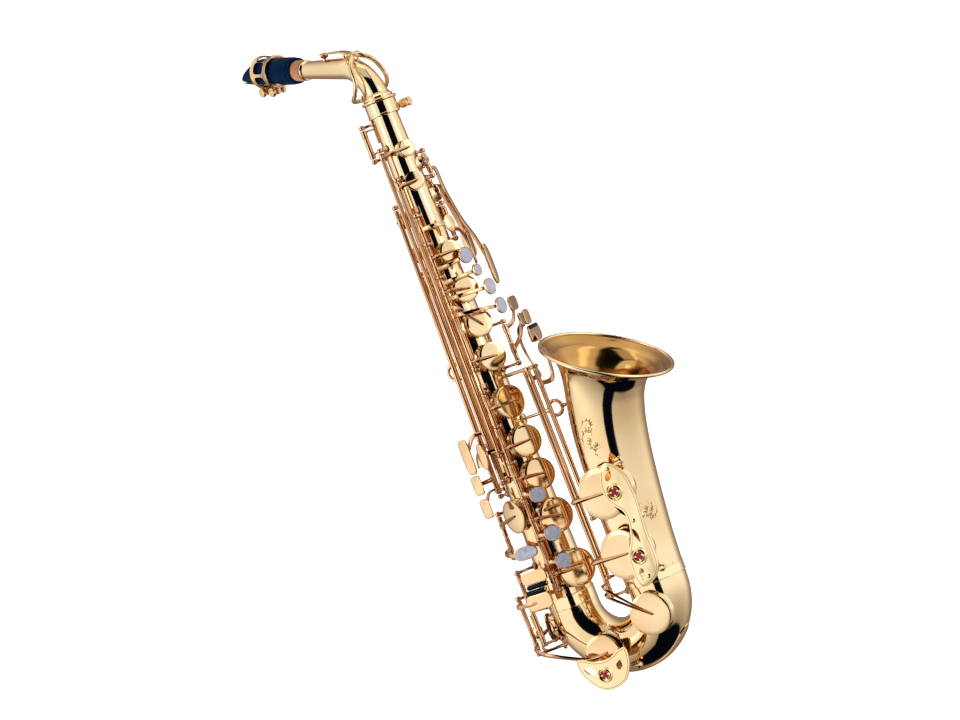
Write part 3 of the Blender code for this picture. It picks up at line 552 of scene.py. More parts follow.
HOLES = {
    "high_e": tube_hole(55, 446, 8.3),
    "high_fsharp": tube_hole(42, 415, 9.0),
    "palm_f": tube_hole(118, 429, 7.5),
    "palm_eb": tube_hole(132, 398, 8.0),
    "palm_d": tube_hole(174, 379, 8.4),
    "side_c": tube_hole(-92, 384, 8.6),
    "side_bb": tube_hole(-108, 318, 9.6),
    "b": tube_hole(60, 342, 11.0),
    "bis": tube_hole(60, 305, 12.8),
    "a": tube_hole(60, 271, 13.2),
    "g": tube_hole(60, 238, 13.4),
    "gsharp": tube_hole(60, 193, 15.6),
    "fsharp": tube_hole(60, 154, 15.0),
    "f": tube_hole(60, 121, 15.2),
    "e": tube_hole(60, 80, 16.8),
    "d": tube_hole(60, 28, 18.3),
    "trill": tube_hole(-28, 91, 16.2),
    "low_eb": bow_hole(10, outward(-75), 14.2),
    "low_c": bow_hole(66, outward(8), 18.0),
    "low_csharp": bow_hole(155, outward(6), 20.0),
    "low_b": bell_hole(29.0, 23.4),
    "low_bb": bell_hole(88.0, 24.3),
}
BOW_HOLES = ("low_eb", "low_c", "low_csharp")
BELL_HOLES = ("low_b", "low_bb")
TUBE_HOLES = tuple(n for n in HOLES if n not in BOW_HOLES + BELL_HOLES)


def tube_line(angle, standoff, low, top):
    return polar(angle, tube_r(low) + standoff, low), polar(angle, tube_r(top) + standoff, top)


def upright(x, y):
    return Vector((x, y, -100)), Vector((x, y, 300))


LINES = {
    "stack": tube_line(13, 8.5, 15, 384),
    "high_fsharp": tube_line(-2, 8, 150, 421),
    "high_e": tube_line(-20, 8, 125, 452),
    "side_c": tube_line(-62, 8, 118, 398),
    "side_bb": tube_line(-75, 8, 112, 332),
    "trill": tube_line(-72, 16, 54, 97),
    "palm_f": tube_line(138, 8, 414, 439),
    "palm_eb": tube_line(160, 8, 392, 414),
    "palm_d": tube_line(150, 8, 352, 387),
    "octave": tube_line(-125, 8, 340, 470),
    "table": (polar(100, 35, 223), polar(100, 35, 264)),
    "low_eb": (polar(-42, 41, -30), polar(-42, 41, 41)),
    "low_c": (polar(-58, 47, -38), polar(-58, 47, 17)),
    "low_csharp": upright(47.5, -12.6),
    "low_b": upright(53, -16.5),
    "low_bb": upright(58.5, -12.5),
}
TUBE_POSTS = {
    "stack": (15, 64, 106, 140, 176, 210, 232, 323.5, 356, 384),
    "high_fsharp": (150, 421),
    "high_e": (125, 452),
    "side_c": (118, 398),
    "side_bb": (112, 332),
    "trill": (54, 97),
    "palm_f": (414, 439),
    "palm_eb": (392, 414),
    "palm_d": (352, 387),
    "octave": (340, 470),
    "table": (223, 264),
    "low_eb": (41,),
    "low_c": (17,),
}


def post(line, z, root):
    """A turned post: a flanged foot on the tube, a waisted stem and a ball head with flat sides."""
    head = at_height(line, z)
    along = (line[1] - line[0]).normalized()
    stem = head - root
    length = stem.length
    foot = [(3.4, -0.4), (3.4, 0.9), (2.9, 1.3), (1.9, 1.7), (1.45, 2.6), (1.25, length * 0.5 + 0.8),
            (1.5, length - 3.0), (1.9, length - 1.6)]
    ball = []
    for k in range(-6, 7):
        h = BARREL * k / 6
        ball.append((math.sqrt(2.95 ** 2 - h * h) * (1.0 if abs(k) < 6 else 0.94), h))
    return [lathe(foot, root, stem, 18), lathe(ball, head, along, 22)]


def screw_end(line, z, up):
    """The slotted head of a rod or pivot screw, at the end of a hinge line."""
    along = (line[1] - line[0]).normalized() * (1 if up else -1)
    start = at_height(line, z) + along * (BARREL - 0.3)
    return lathe([(1.5, 0), (1.5, 0.7), (1.3, 0.95), (0.9, 1.0), (0.5, 1.0), (0.3, 0.75)], start, along, 16)


# ---------------------------------------------------------------- tube, bow and bell


def pipe(points, radii, wall, sides):
    """Rings down the outside and back up the inside of a pipe."""
    frames = frames_along(points)
    turns = [2 * math.pi * k / sides for k in range(sides)]

    def ring(i, radius):
        u, v = frames[i]
        return [points[i] + (u * math.cos(t) + v * math.sin(t)) * radius for t in turns]

    outer = [ring(i, radii[i]) for i in range(len(points))]
    inner = [ring(i, radii[i] - wall) for i in range(len(points))]
    return skin(outer + inner[::-1], closed=True)


def cut_pipe(name, body, shape, holes, replaced, inside):
    """A pipe with its tone holes cut, smooth normals kept, and its inner faces in a darker material of their
    own, which paints the shade inside.
    """
    reference = mesh_of(name + "_whole", [(0, shape)])
    cuts = [mesh_of("cut", [(0, HOLES[hole].cutter())]) for hole in holes]
    mesh = combine(name, reference.copy(), cuts)
    keep_curves(mesh, reference)
    made = piece(name, body, mesh, [LACQUER, inside], replaced, angle=None)
    return made


# Puts the faces that look into the pipe on the second, darker material, which paints the shade inside
def mark_inside(mesh, is_inside):
    for polygon in mesh.polygons:
        if is_inside(polygon.center / MM + STRAP_RING, polygon.normal):
            polygon.material_index = 1


def tube_and_fittings():
    count = 24
    points = [Vector((0, 0, TUBE_LENGTH * k / count)) for k in range(count + 1)]
    shape = pipe(points, [tube_r(p.z) for p in points], TUBE_WALL, 96)
    tube = cut_pipe("body_tube", "body", shape, TUBE_HOLES, ["body_tube"], BORE_SHADE)
    mark_inside(tube.data, lambda c, n: n.x * c.x + n.y * c.y < 0)
    simple("tube_tone_holes", "body", [HOLES[name].chimney() for name in TUBE_HOLES], LACQUER)
    posts, screws = [], []
    for name, heights in TUBE_POSTS.items():
        for z in heights:
            head = at_height(LINES[name], z)
            inward = Vector((head.x, head.y, 0)).normalized()
            posts += post(LINES[name], z, inward * (tube_r(z) + 0.9) + Vector((0, 0, z)))
        screws.append(screw_end(LINES[name], heights[-1], True))
        if len(heights) > 1:
            screws.append(screw_end(LINES[name], heights[0], False))
    for low, top, angle, width in ((8, 71, 13, 8.0), (99, 217, 13, 8.0), (226, 240, 13, 7.0),
                                   (316, 392, 13, 7.0),
                                   (344, 396, 150, 7.0), (386, 446, 149, 8.0)):
        ends = [polar(angle, tube_r(z) + 0.35, z) for z in (low, top)]
        posts.append(limb([ends[0], ends[0].lerp(ends[1], 0.5), ends[1]], (width, width), (1.1, 1.1),
                          outward(angle)))
    simple("tube_posts", "body", posts, ROD_SHADE_LACQUER)
    simple("rod_screws", "body", screws, STEEL)
    bridge = [polar(75, 17.6, 216), Vector((38, -10, 216)), Vector((61, -14.5, 216))]
    heads = [lathe([(2.7, -2.0), (3.1, -1.6), (3.1, 1.6), (2.7, 2.0)], at_height(LINES[n], 216), Z, 20)
             for n in ("low_csharp", "low_b", "low_bb")]
    simple("bell_rod_bridge", "body", [limb(bridge, (9.5, 8.5), (3.6, 3.2), Z), *heads], ROD_SHADE_LACQUER)


def bow_and_bell():
    points = [Vector((0, 0, -GAP)), Vector((0, 0, -6))] + [bow_point(180 * k / 48) for k in range(49)]
    points += [Vector((BELL_X, 0, -6)), Vector((BELL_X, 0, -GAP))]
    radii = []
    lengths = [0.0]
    for a, b in zip(points, points[1:]):
        lengths.append(lengths[-1] + (b - a).length)
    for length in lengths:
        radii.append(BOW_R_BODY + (BOW_R_BELL - BOW_R_BODY) * length / lengths[-1])
    shape = pipe(points, radii, BELL_WALL, 80)
    bow = cut_pipe("bow", "body", shape, BOW_HOLES, ["bow"], BORE_SHADE)

    def faces_bow_line(c, n):
        if c.z > -BOW_STRAIGHT:
            near = Vector((0 if c.x < BOW_BEND_R else BELL_X, 0, c.z))
        else:
            out = Vector((c.x - BOW_BEND_R, 0, c.z + BOW_STRAIGHT)).normalized()
            near = Vector((BOW_BEND_R, 0, -BOW_STRAIGHT)) + out * BOW_BEND_R
        return n.dot(c - near) < 0

    mark_inside(bow.data, faces_bow_line)
    simple("bow_tone_holes", "body", [HOLES[name].chimney() for name in BOW_HOLES], LACQUER)
    posts = post(LINES["low_eb"], -30, Vector((-16.2, -17.6, -30)))
    posts += post(LINES["low_c"], -38, Vector((-9.8, -13.0, -38)))
    posts += post(LINES["low_csharp"], -8, Vector((62.6, -8.6, -8)))
    posts += post(LINES["low_b"], 10, Vector((64.4, -12.0, 10)))
    posts += post(LINES["low_bb"], 66, Vector((64.6, -10.2, 66)))
    simple("low_posts", "body", posts, ROD_SHADE_LACQUER)

    stations = curve_through([Vector(s) for s in BELL_STATIONS], 7)
    points = [Vector((s.x, 0, s.y)) for s in stations]
    radii = [s.z for s in stations]
    shape = pipe(points, radii, BELL_WALL, 120)
    # The bell's inner faces take the darker lacquer that paints the shade inside it
    bell = cut_pipe("bell", "body", shape, BELL_HOLES, ["bell"], BELL_INSIDE_SHADE)
    axis = list(zip(points, radii))

    def farness(station, c):
        """How far a point is from a station: from its sphere in the throat, from its plane in the flare."""
        point, radius = station
        if point.z < 175:
            return (point - c).length_squared - radius ** 2
        return abs((c - point).dot(Vector((0.53, 0, 0.85)))) * 80

    def faces_bell_line(c, n):
        return n.dot(c - min(axis, key=lambda station: farness(station, c))[0]) < 0

    mark_inside(bell.data, faces_bell_line)
    simple("bell_tone_holes", "body", [HOLES[name].chimney() for name in BELL_HOLES], LACQUER)
    lean = math.radians(BELL_LEAN)
    rim_normal = Vector((math.sin(lean), 0, math.cos(lean)))
    simple("bell_rim", "body", [ring_round(points[-1], rim_normal, radii[-1] - 0.2, 1.75, 120, 18)],
           LACQUER)


def ferrules():
    """The rings over the joints between tube, bow and bell: a band between two rolled beads."""
    for name, x, inner, low, top in (("body_ferrule", 0, 23.35, -6, 6),
                                     ("bell_ferrule", BELL_X, 28.8, -6, 3.6)):
        outer = inner + 0.12
        profile = [(inner - 0.3, low), (outer, low), (outer + 0.25, low + 0.25), (outer + 0.25, low + 0.75),
                   (outer, low + 1.0), (outer, top - 1.0), (outer + 0.25, top - 0.75),
                   (outer + 0.25, top - 0.25),
                   (outer, top), (inner - 0.3, top)]
        simple(name, "body", [lathe(profile, Vector((x, 0, 0)), Z, 96, closed=True)], LACQUER, [name])


tube_and_fittings()
bow_and_bell()
ferrules()

# ---------------------------------------------------------------- fittings on the body


def screw_head(centre, axis, radius):
    """A low round head."""
    profile = [(radius - 0.3, 0), (radius, 0.3), (radius, 0.9), (radius - 0.7, 1.5), (0.01, 1.7)]
    return lathe(profile, centre, axis, 20)


def foot_plate(length, width, centre, up, side, normal):
    return slab(oval(length, width, 36), centre + normal * 0.8, up, side, 1.6, 0.6)


def fittings():
    z, y = 172.5, 3.0
    middle = Vector((55.5, y, z))
    near = Vector((math.sqrt(tube_r(z) ** 2 - y * y) + GAP, y, z))
    far = Vector((72.6, y, z))
    out, back = Vector((1, 0, 0)), Vector((-1, 0, 0))
    stays = [ring_round(middle, Y, 7.0, 1.75, 44, 14)]
    for end, towards in ((near, out), (far, back)):
        reach = abs(middle.x - end.x) - 6.6
        profile = [(5.4, 0), (5.4, 0.7), (4.4, 1.3), (2.3, 1.9), (1.6, 3.2), (1.5, reach * 0.6),
                   (2.1, reach - 1.2),
                   (2.1, reach)]
        stays.append(lathe(profile, end, towards, 24))
    simple("brace_ring", "body", stays, KEY_LACQUER, ["bell_brace"])

    side = outward(175)
    ear = side.cross(Z).normalized()
    middle = side * 18.5 + Z * 486.5
    profile = [(13.1, 481.6), (15.1, 481.6), (15.6, 482.2), (15.6, 483.6), (15.1, 484.2), (15.0, 494.6),
               (15.6, 495.0), (16.7, 495.9), (16.7, 497.2), (15.9, 497.9), (13.1, 497.9)]
    socket = mesh_of("socket", [(0, lathe(profile, Vector((0, 0, 0)), Z, 72, closed=True))])
    split = mesh_of("split", [(0, limb([side * 9 + Z * 478, side * 9 + Z * 490, side * 9 + Z * 502],
                                       (1.3, 1.3), (16, 16), side))])
    socket = combine("receiver_socket", socket, [split])
    piece("receiver_socket", "body", socket, [LACQUER], ["neck_receiver"])
    ears = []
    for face in (-1, 1):
        ears.append(lathe([(2.0, 0.5), (4.3, 0.5), (4.6, 0.9), (4.6, 3.1), (4.2, 3.5), (2.0, 3.5)],
                          middle, ear * face, 28, closed=True))
        ears.append(limb([middle - side * 4.6 + ear * face * 2, middle - side * 2.6 + ear * face * 2,
                          middle - side * 0.8 + ear * face * 2], (3.0, 3.0), (7.0, 8.4), ear))
    simple("receiver_ears", "body", ears, LACQUER)
    grip = [(1.6, 6.0), (2.8, 6.2), (2.8, 9.0), (3.6, 9.6), (4.3, 10.0), (4.3, 11.0), (3.7, 11.4),
            (3.7, 18.0),
            (4.3, 18.4), (4.3, 19.4), (3.8, 19.9), (0.01, 19.9)]
    knurls = [rod(middle + ear * 11.3 + (side * math.cos(t) + Z * math.sin(t)) * 3.7,
                  middle + ear * 18.1 + (side * math.cos(t) + Z * math.sin(t)) * 3.7, 0.42, 6)
              for t in (2 * math.pi * k / 20 for k in range(20))]
    simple("clamp_screw_grip", "neck_clamp_screw", [rod(middle - ear * 6.4, middle + ear * 12, 1.5, 14),
                                                     lathe(grip, middle, ear, 36), *knurls], KEY_LACQUER,
           ["neck_clamp_screw"])

    base = back * (tube_r(STRAP_RING.z) + 0.5) + Z * STRAP_RING.z
    screws = [screw_head(base + Z * drop + back * 1.4, back, 1.4) for drop in (-9, 9)]
    simple("strap_eye", "body", [ring_round(STRAP_RING, Y, 7.6, 1.75, 44, 14),
                                 foot_plate(24, 9, base, Z, Y, back), *screws], KEY_LACQUER, ["strap_ring"])

    seat = back * (tube_r(350) + 0.6) + Z * 350
    post_shape = [(5.0, 0), (5.0, 1.2), (4.2, 2.2), (4.2, 3.6), (6.6, 4.4), (7.7, 5.0), (7.8, 6.6),
                  (7.0, 7.3)]
    simple("thumb_rest_base", "body", [lathe(post_shape, seat, back, 36)], KEY_LACQUER, ["thumb_rest"])
    button = [(7.0, 6.6), (7.0, 7.1), (5.8, 7.5), (0.01, 7.35)]
    simple("thumb_rest_pad", "body", [lathe(button, seat, back, 36)], ROLLER)


def thumb_hook():
    back = outward(-104)
    side = Z.cross(back)
    z = 150.0
    base = back * (tube_r(z - 12) + 0.5) + Z * z
    simple("thumb_plate_base", "body", [foot_plate(26, 14, base, Z, side, back)], KEY_LACQUER,
           ["thumb_plate"])
    seat = base + back * 2.0
    curve = [seat + back * 1.6 + Z * 9, seat + back * 8 + Z * 11, seat + back * 17 + Z * 8,
             seat + back * 23 + Z * 1, seat + back * 24 - Z * 8]
    plate_shape = slab(oval(24, 12, 36), seat + back * 1.1, Z, side, 1.8, 0.6)
    hook = limb(curve, (11.0, 13.0), (2.4, 2.0), side.cross(Z))
    simple("thumb_hook_arch", "thumb_hook", [plate_shape, hook], KEY_LACQUER, ["thumb_hook"])
    head = seat - Z * 5 + back * 1.2
    knob = [(3.4, 0), (3.6, 0.3), (3.6, 2.0), (3.2, 2.4), (0.01, 2.5)]
    lobes = [rod(head + back * 0.4 + (Z * math.cos(t) + side * math.sin(t)) * 3.1,
                 head + back * 2.0 + (Z * math.cos(t) + side * math.sin(t)) * 3.1, 0.6, 8)
             for t in (2 * math.pi * k / 14 for k in range(14))]
    simple("hook_screw_head", "thumb_hook_screw", [lathe(knob, head, back, 32), *lobes], KEY_LACQUER,
           ["thumb_hook_screw"])


def bow_guard():
    """A thin plate that follows the bow's own curve both ways, with rounded ends."""
    rings = []
    for k in range(33):
        turn = 180 * (4 + 8 * k / 32) / 15
        centre = bow_point(turn)
        radius = BOW_R_BODY + (BOW_R_BELL - BOW_R_BODY) * turn / 180
        out = (centre - Vector((BOW_BEND_R, 0, -BOW_STRAIGHT))).normalized()
        half = 19 * math.sqrt(1.02 - max(abs(k / 16 - 1) - 0.75, 0) ** 2 * 16)
        arc = [math.radians(half * (j / 6 - 1)) for j in range(13)]
        ring = [centre + (out * math.cos(a) + Y * math.sin(a)) * (radius + 0.5) for a in arc]
        ring += [centre + (out * math.cos(a) + Y * math.sin(a)) * (radius - 0.3) for a in reversed(arc)]
        rings.append(ring)
    simple("bow_wear_plate", "body", [skin(rings)], LACQUER, ["bow_guard"])


def sheet(name, outline, middle, along, across, thick, holes, replaced):
    """A guard cut from sheet: a smooth outline, a line engraved inside it whose dark colour is painted shade
    in the groove, smooth holes and rounded edges.
    """
    edge = [(p.x, p.y) for p in curve_through([Vector((a, b, 0)) for a, b in outline], 6, True)]
    plate_mesh = mesh_of(name, [(0, slab(edge, middle, along, across, thick, 0.45))])
    cuts = []
    normal = along.cross(across).normalized()
    facing = normal if normal.y < 0 else -normal
    for ring in holes:
        points = [middle + along * a + across * b for a, b in ring]
        cuts.append(mesh_of("cut", [(0, skin([[p - normal * 3 for p in points],
                                              [p + normal * 3 for p in points]]))]))
    groove = []
    count = len(edge)
    for i, (a, b) in enumerate(edge):
        along_edge = Vector(edge[(i + 1) % count]) - Vector(edge[i - 1])
        inward = Vector((-along_edge.y, along_edge.x)).normalized() * turning(edge)
        ring = []
        for inset, lift in ((1.5, -0.2), (1.5, 0.03), (1.95, 0.03), (1.95, -0.2)):
            spot = Vector((a, b)) + inward * inset
            ring.append(middle + along * spot.x + across * spot.y + facing * (thick / 2 + lift))
        groove.append(ring)
    simple(name + "_line", "body", [skin(groove, closed=True)], ENGRAVING_SHADE)
    return piece(name, "body", combine(name, plate_mesh, cuts), [LACQUER], replaced)


def turning(edge):
    """1 for an outline that runs counter-clockwise and -1 for one that runs clockwise."""
    area = sum(a[0] * b[1] - b[0] * a[1] for a, b in zip(edge, edge[1:] + edge[:1]))
    return 1 if area > 0 else -1


def round_hole(a, b, radius):
    return [(a + radius * math.cos(2 * math.pi * k / 28), b + radius * math.sin(2 * math.pi * k / 28))
            for k in range(28)]


def drop_hole(a, b, length, width, tail):
    """A teardrop whose point leads in the direction tail, in degrees from the plate's long axis."""
    turn = math.radians(tail)
    ring = []
    for k in range(28):
        t = 2 * math.pi * k / 28
        u = length / 2 * math.cos(t)
        v = width / 2 * math.sin(t) * (1 - 0.75 * max(math.cos(t), 0))
        ring.append((a + u * math.cos(turn) - v * math.sin(turn),
                     b + u * math.sin(turn) + v * math.cos(turn)))
    return ring


def bumper(name, centre, normal, radius):
    """A screwed-in bumper: a turned ring, four petals of metal and the felt that shows between them."""
    inner = radius * 0.54
    ring = [(inner, -2.2), (radius - 1.6, -2.2), (radius - 1.6, 0.9), (radius - 0.2, 0.9), (radius, 1.2),
            (radius - 0.3, 1.7), (radius - 1.0, 1.9), (radius - 1.5, 1.5), (radius - 1.8, 1.2),
            (radius - 2.1, 1.5),
            (inner + 0.7, 2.1), (inner + 0.2, 1.9), (inner, 1.4)]
    u = normal.orthogonal().normalized()
    v = normal.cross(u)
    metal = [lathe(ring, centre, normal, 40, closed=True)]
    for k in range(4):
        t = math.pi / 4 + math.pi / 2 * k
        spot = centre + (u * math.cos(t) + v * math.sin(t)) * (inner * 0.8) + normal * 1.1
        metal.append(lathe([(0.9, 0), (1.0, 0.2), (0.8, 0.5), (0.01, 0.6)], spot, normal, 14))
    simple(name + "_ring", "body", metal, LACQUER)
    simple(name + "_felt", "body", [lathe([(inner - 0.6, -3.8), (inner - 0.1, -3.4), (inner - 0.1, 0.8),
                                           (inner - 0.6, 1.1), (0.01, 1.2)], centre, normal, 32)], FELT)


def guards():
    right = Vector((0, -1, 0))
    middle = Vector((111, -51.5, 57))
    outline = [(57, 3), (52, 10.4), (43, 15.6), (32, 18.2), (18, 18.9), (2, 17.6), (-14, 16.4), (-32, 16.6),
               (-44, 15.6),
               (-54, 9.5), (-60, -2), (-59, -9), (-50, -11.6), (-38, -11.4), (-28, -9.2), (-20, -4),
               (-9, 0.6), (2, 2.6),
               (11, 1.2), (17, -4.2), (24, -9.4), (34, -11.2), (46, -8.8), (55, -4)]
    holes = [round_hole(-32, 0, 6.4), round_hole(30, 0, 6.4), drop_hole(45.5, 0.5, 11, 5.6, 40),
             drop_hole(-49, -3.5, 12, 5.8, 190), drop_hole(-14, 5.0, 15, 5.0, 168)]
    sheet("bell_guard_sheet", outline, middle, Z, X, 1.8, holes, ["bell_key_guard"])
    struts = []
    for foot, head in (((113.5, -24.5, 5), (113, 5)), ((114, -27.0, 57), (119, 57)),
                       ((116, -32.0, 110), (113, 108.5))):
        start = Vector(foot)
        end = Vector((head[0], -50.8, head[1]))
        reach = (end - start).length
        struts.append(lathe([(3.6, -1.5), (3.6, 1.0), (2.6, 1.8), (1.8, 3.2), (1.6, 5), (1.6, reach - 3),
                             (2.4, reach - 1),
                             (2.6, reach)], start, end - start, 24))
        struts.append(screw_head(end + right * 1.4, right, 1.9))
    simple("bell_guard_struts", "body", struts, LACQUER)
    for name, z in (("low_b_bumper", -32), ("low_bb_bumper", 30)):
        bumper(name, middle + Z * z, right, 8.2)

    middle = Vector((36, -50.5, -66))
    outline = [(-27, 15), (-20, 15), (-12, 11), (-2, 9), (8, 10), (17, 14), (26, 15.5), (27, 8), (24.5, -2),
               (17, -13),
               (7, -18), (-5, -18.5), (-15, -14), (-23, -4), (-27, 6)]
    holes = [round_hole(-3, -4, 5.0), drop_hole(-17, 3, 13, 6.5, 150), drop_hole(15, 1.5, 10, 6.4, 60)]
    sheet("low_c_guard_sheet", outline, middle, X, Z, 1.8, holes, ["low_c_guard"])
    struts = []
    for x, z, y in ((55, -74, -24.6), (23, -83, -18.5)):
        start, end = Vector((x, y, z)), Vector((x, -50.0, z + 5))
        reach = (end - start).length
        struts.append(lathe([(3.6, -1.5), (3.6, 1.4), (3.0, 2.2), (2.1, 3.2), (1.9, 5), (1.9, reach - 3),
                             (3.2, reach - 1),
                             (3.4, reach)], start, end - start, 24))
    simple("low_c_guard_struts", "body", struts, LACQUER)
    bumper("low_c_bumper", middle + X * -3 - Z * 4, right, 7.4)


def low_eb_guard():
    """An arch over the low E flat cup, with its bumper's felt showing past it."""
    hole = HOLES["low_eb"]
    normal = hole.normal
    middle = hole.cup_top() + normal * 12.5
    root = hole.foot + normal * (hole.rim - CHIMNEY - 0.6)
    feet = [root + Z * side * (hole.cup_r + 4.2) for side in (-1, 1)]
    shoulder = [f + normal * ((middle - f).dot(normal) - 1.5) for f in feet]
    strap = [feet[0], shoulder[0], middle - Z * 6, middle, middle + Z * 6, shoulder[1], feet[1]]
    shapes = [limb(strap, (6.5, 6.5), (1.7, 1.7), normal)]
    shapes += [lathe([(5.0, -0.4), (5.0, 0.9), (4.2, 1.5), (2.6, 2.0)], f, normal, 24) for f in feet]
    ring = [(3.4, -3.0), (6.4, -3.0), (6.4, 1.2), (6.0, 1.9), (4.2, 1.9), (3.6, 1.3)]
    shapes.append(lathe(ring, middle, normal, 36, closed=True))
    simple("low_eb_guard", "body", shapes, LACQUER)
    felt = [(0.01, -4.6), (5.2, -4.6), (5.6, -4.2), (5.6, -3.1), (3.3, -3.0), (3.3, 0.8), (0.01, 1.0)]
    simple("low_eb_felt", "body", [lathe(felt, middle, normal, 32)], FELT)


def octave_rocker():
    """The short shaft beside the socket that links the thumb's key to the neck's, held between two posts."""
    line = (polar(-66, 24.5, 444), polar(-66, 24.5, 479))
    shapes = []
    for z in (445, 478):
        shapes += post(line, z, outward(-66) * (tube_r(z) - 0.3) + Z * z)
    for z, up in ((445, False), (478, True)):
        shapes.append(screw_end(line, z, up))
    low, top = at_height(line, 447.6), at_height(line, 475.4)
    profile = [(2.2, 0), (2.9, 0.5), (2.9, 5), (2.55, 5.4), (2.55, 21), (2.9, 21.4), (2.9, 27.3),
               (2.2, 27.8)]
    shapes.append(lathe(profile, low, top - low, 24))
    for z, turn in ((450, -96), (472, -100)):
        tip = polar(turn, 21, z + 2)
        shapes.append(limb([at_height(line, z), at_height(line, z).lerp(tip, 0.5) + Z, tip], (3.4, 2.4),
                           (2.0, 1.6), Z))
    simple("octave_rocker", "body", shapes, ROD_SHADE_LACQUER)


fittings()
thumb_hook()
bow_guard()
guards()
low_eb_guard()
octave_rocker()

# ---------------------------------------------------------------- keys


class Key:
    """One key, laid out with its cup shut. A key that rests open is turned by lift about its hinge line."""

    def __init__(self, name, line, low, top, lift=0.0, rests_open=False):
        self.name, self.line, self.lift, self.rests_open = name, LINES[line], lift, rests_open
        self.low, self.top = low, top
        self.rods, self.metal, self.pads, self.pearls, self.rollers = [], [], [], [], []
        length = (self.at(top) - self.at(low)).length
        r = HINGE_R
        profile = [(r - 0.35, 0), (r, 0.3), (r, 2.2), (r - 0.12, 2.4), (r - 0.12, length - 2.4),
                   (r, length - 2.2),
                   (r, length - 0.3), (r - 0.35, length)]
        self.rods.append(lathe(profile, self.at(low), self.at(top) - self.at(low), 20))

    def at(self, z):
        return at_height(self.line, z)

    def arm(self, *points, widths=(4.4, 3.2), thicks=(2.4, 1.9), up=None, ridge=False):
        if up is None:
            up = Vector((points[-1].x, points[-1].y, 0))
        self.rods.append(limb(list(points), widths, thicks, up, round_by=1.8 if ridge else 0.6))
        collar = (self.at(self.top) - self.at(self.low)).normalized()
        self.rods.append(lathe([(2.3, -3.1), (2.62, -2.7), (2.62, 2.7), (2.3, 3.1)], points[0], collar, 20))
        return self

    def lid(self, hole):
        """The cup's dome over its leather pad, with a metal resonator in the pad's middle."""
        seat, normal, r = hole.seat(), hole.normal, hole.cup_r
        dome = [(r - 1.5, 1.5), (r - 0.7, 0.9), (r - 0.15, 0.95), (r, 1.25), (r, 2.2), (r - 0.2, 2.6),
                (r - 0.8, 2.9),
                (r * 0.8, 3.1), (r * 0.5, 3.35), (r * 0.2, 3.48), (0.01, 3.5)]
        self.metal.append(lathe(dome, seat, normal, 56))
        pad = [(0.01, 0.35), (r - 3.6, 0.35), (r - 3.2, 0.12), (r - 1.5, 0.04), (r - 0.75, 0.3),
               (r - 0.65, 0.9),
               (r - 1.0, 1.5)]
        self.pads.append(lathe(pad, seat, normal, 48))
        rivet = [(min(r * 0.5, 7.5), 0.3), (min(r * 0.48, 7.2), 0.1), (1.4, 0.05), (0.01, -0.15)]
        self.metal.append(lathe(rivet[::-1], seat, normal, 28))

    def cup(self, hole_name, from_z):
        hole = HOLES[hole_name]
        self.lid(hole)
        top = hole.cup_top()
        start = self.at(from_z)
        level = top + hole.normal * 0.3
        rise = (level - start).dot(hole.normal)
        flat = level - hole.normal * rise
        knee = start.lerp(flat, 0.14) + hole.normal * (rise - 0.2)
        reach = (flat - start).normalized()
        beyond = level + reach * hole.cup_r * 0.3 - hole.normal * 0.4
        self.rods.append(limb([start, knee, knee.lerp(level, 0.5) + hole.normal * 0.1, level, beyond],
                              (5.0, 1.8),
                               (4.0, 2.0), hole.normal, round_by=1.7))
        collar = (self.at(self.top) - self.at(self.low)).normalized()
        self.rods.append(lathe([(2.3, -3.3), (2.66, -2.9), (2.66, 2.9), (2.3, 3.3)], start, collar, 20))
        return self

    def pearl(self, angle, radius, z, *through, size=PEARL_R):
        normal = outward(angle)
        centre = polar(angle, radius, z)
        self.arm(*through, centre - normal * 0.7, widths=(4.2, 3.4), up=normal)
        dish = [(size - 2.4, -1.6), (size - 0.4, -1.5), (size + 0.55, -0.9), (size + 0.75, 0.4),
                (size + 0.55, 1.2),
                (size + 0.15, 1.35), (size - 0.1, 0.9), (size - 0.3, 0.3)]
        self.metal.append(lathe(dish, centre, normal, 40))
        self.pearls.append(lathe([(size - 0.1, 0.3), (size - 0.1, 1.1), (size - 0.5, 1.55),
                                  (size * 0.75, 1.6),
                                  (size * 0.4, 1.5), (0.01, 1.45)], centre, normal, 40))
        return self

    def touch(self, size, centre, face, *through, crown=0.5, power=0.85, widths=(4.6, 3.6)):
        around = face.cross(Z).normalized()
        outline = oval(size[0], size[1], 40, power)
        self.metal.append(slab(outline, centre, Z, around, 2.2, 0.8, crown))
        self.arm(*through, centre, widths=widths, up=face)
        return self

    def roller(self, start, end, radius=2.0):
        """A roller on its pin, between two small cheeks."""
        axis = (end - start).normalized()
        length = (end - start).length
        self.rollers.append(lathe([(radius - 0.7, 0), (radius - 0.15, 0.3), (radius, 0.9),
                                   (radius, length - 0.9),
                                   (radius - 0.15, length - 0.3), (radius - 0.7, length)], start, axis, 24))
        for spot, way in ((start, -axis), (end, axis)):
            self.rods.append(lathe([(1.0, -0.2), (1.5, 0.1), (1.5, 0.9), (1.0, 1.1)], spot, way, 16))

    def build(self):
        pivot = self.at((self.low + self.top) / 2)
        axis = (self.line[1] - self.line[0]).normalized()
        turn = Matrix.Identity(4)
        if self.rests_open:
            turn = Matrix.Translation(pivot) @ Matrix.Rotation(math.radians(self.lift), 4, axis)
            turn = turn @ Matrix.Translation(-pivot)
        # The rods and arms take the darker lacquer that paints the mechanism's shade
        for suffix, shapes, finish in (("metal", self.metal, KEY_LACQUER), ("rod", self.rods, ROD_SHADE_LACQUER),
                                       ("pad", self.pads, PAD), ("pearl", self.pearls, PEARL),
                                       ("roller", self.rollers, ROLLER)):
            if shapes:
                node = [self.name] if suffix == "metal" else ()
                simple(f"{self.name}_{suffix}", self.name, shapes, finish, node, turn)


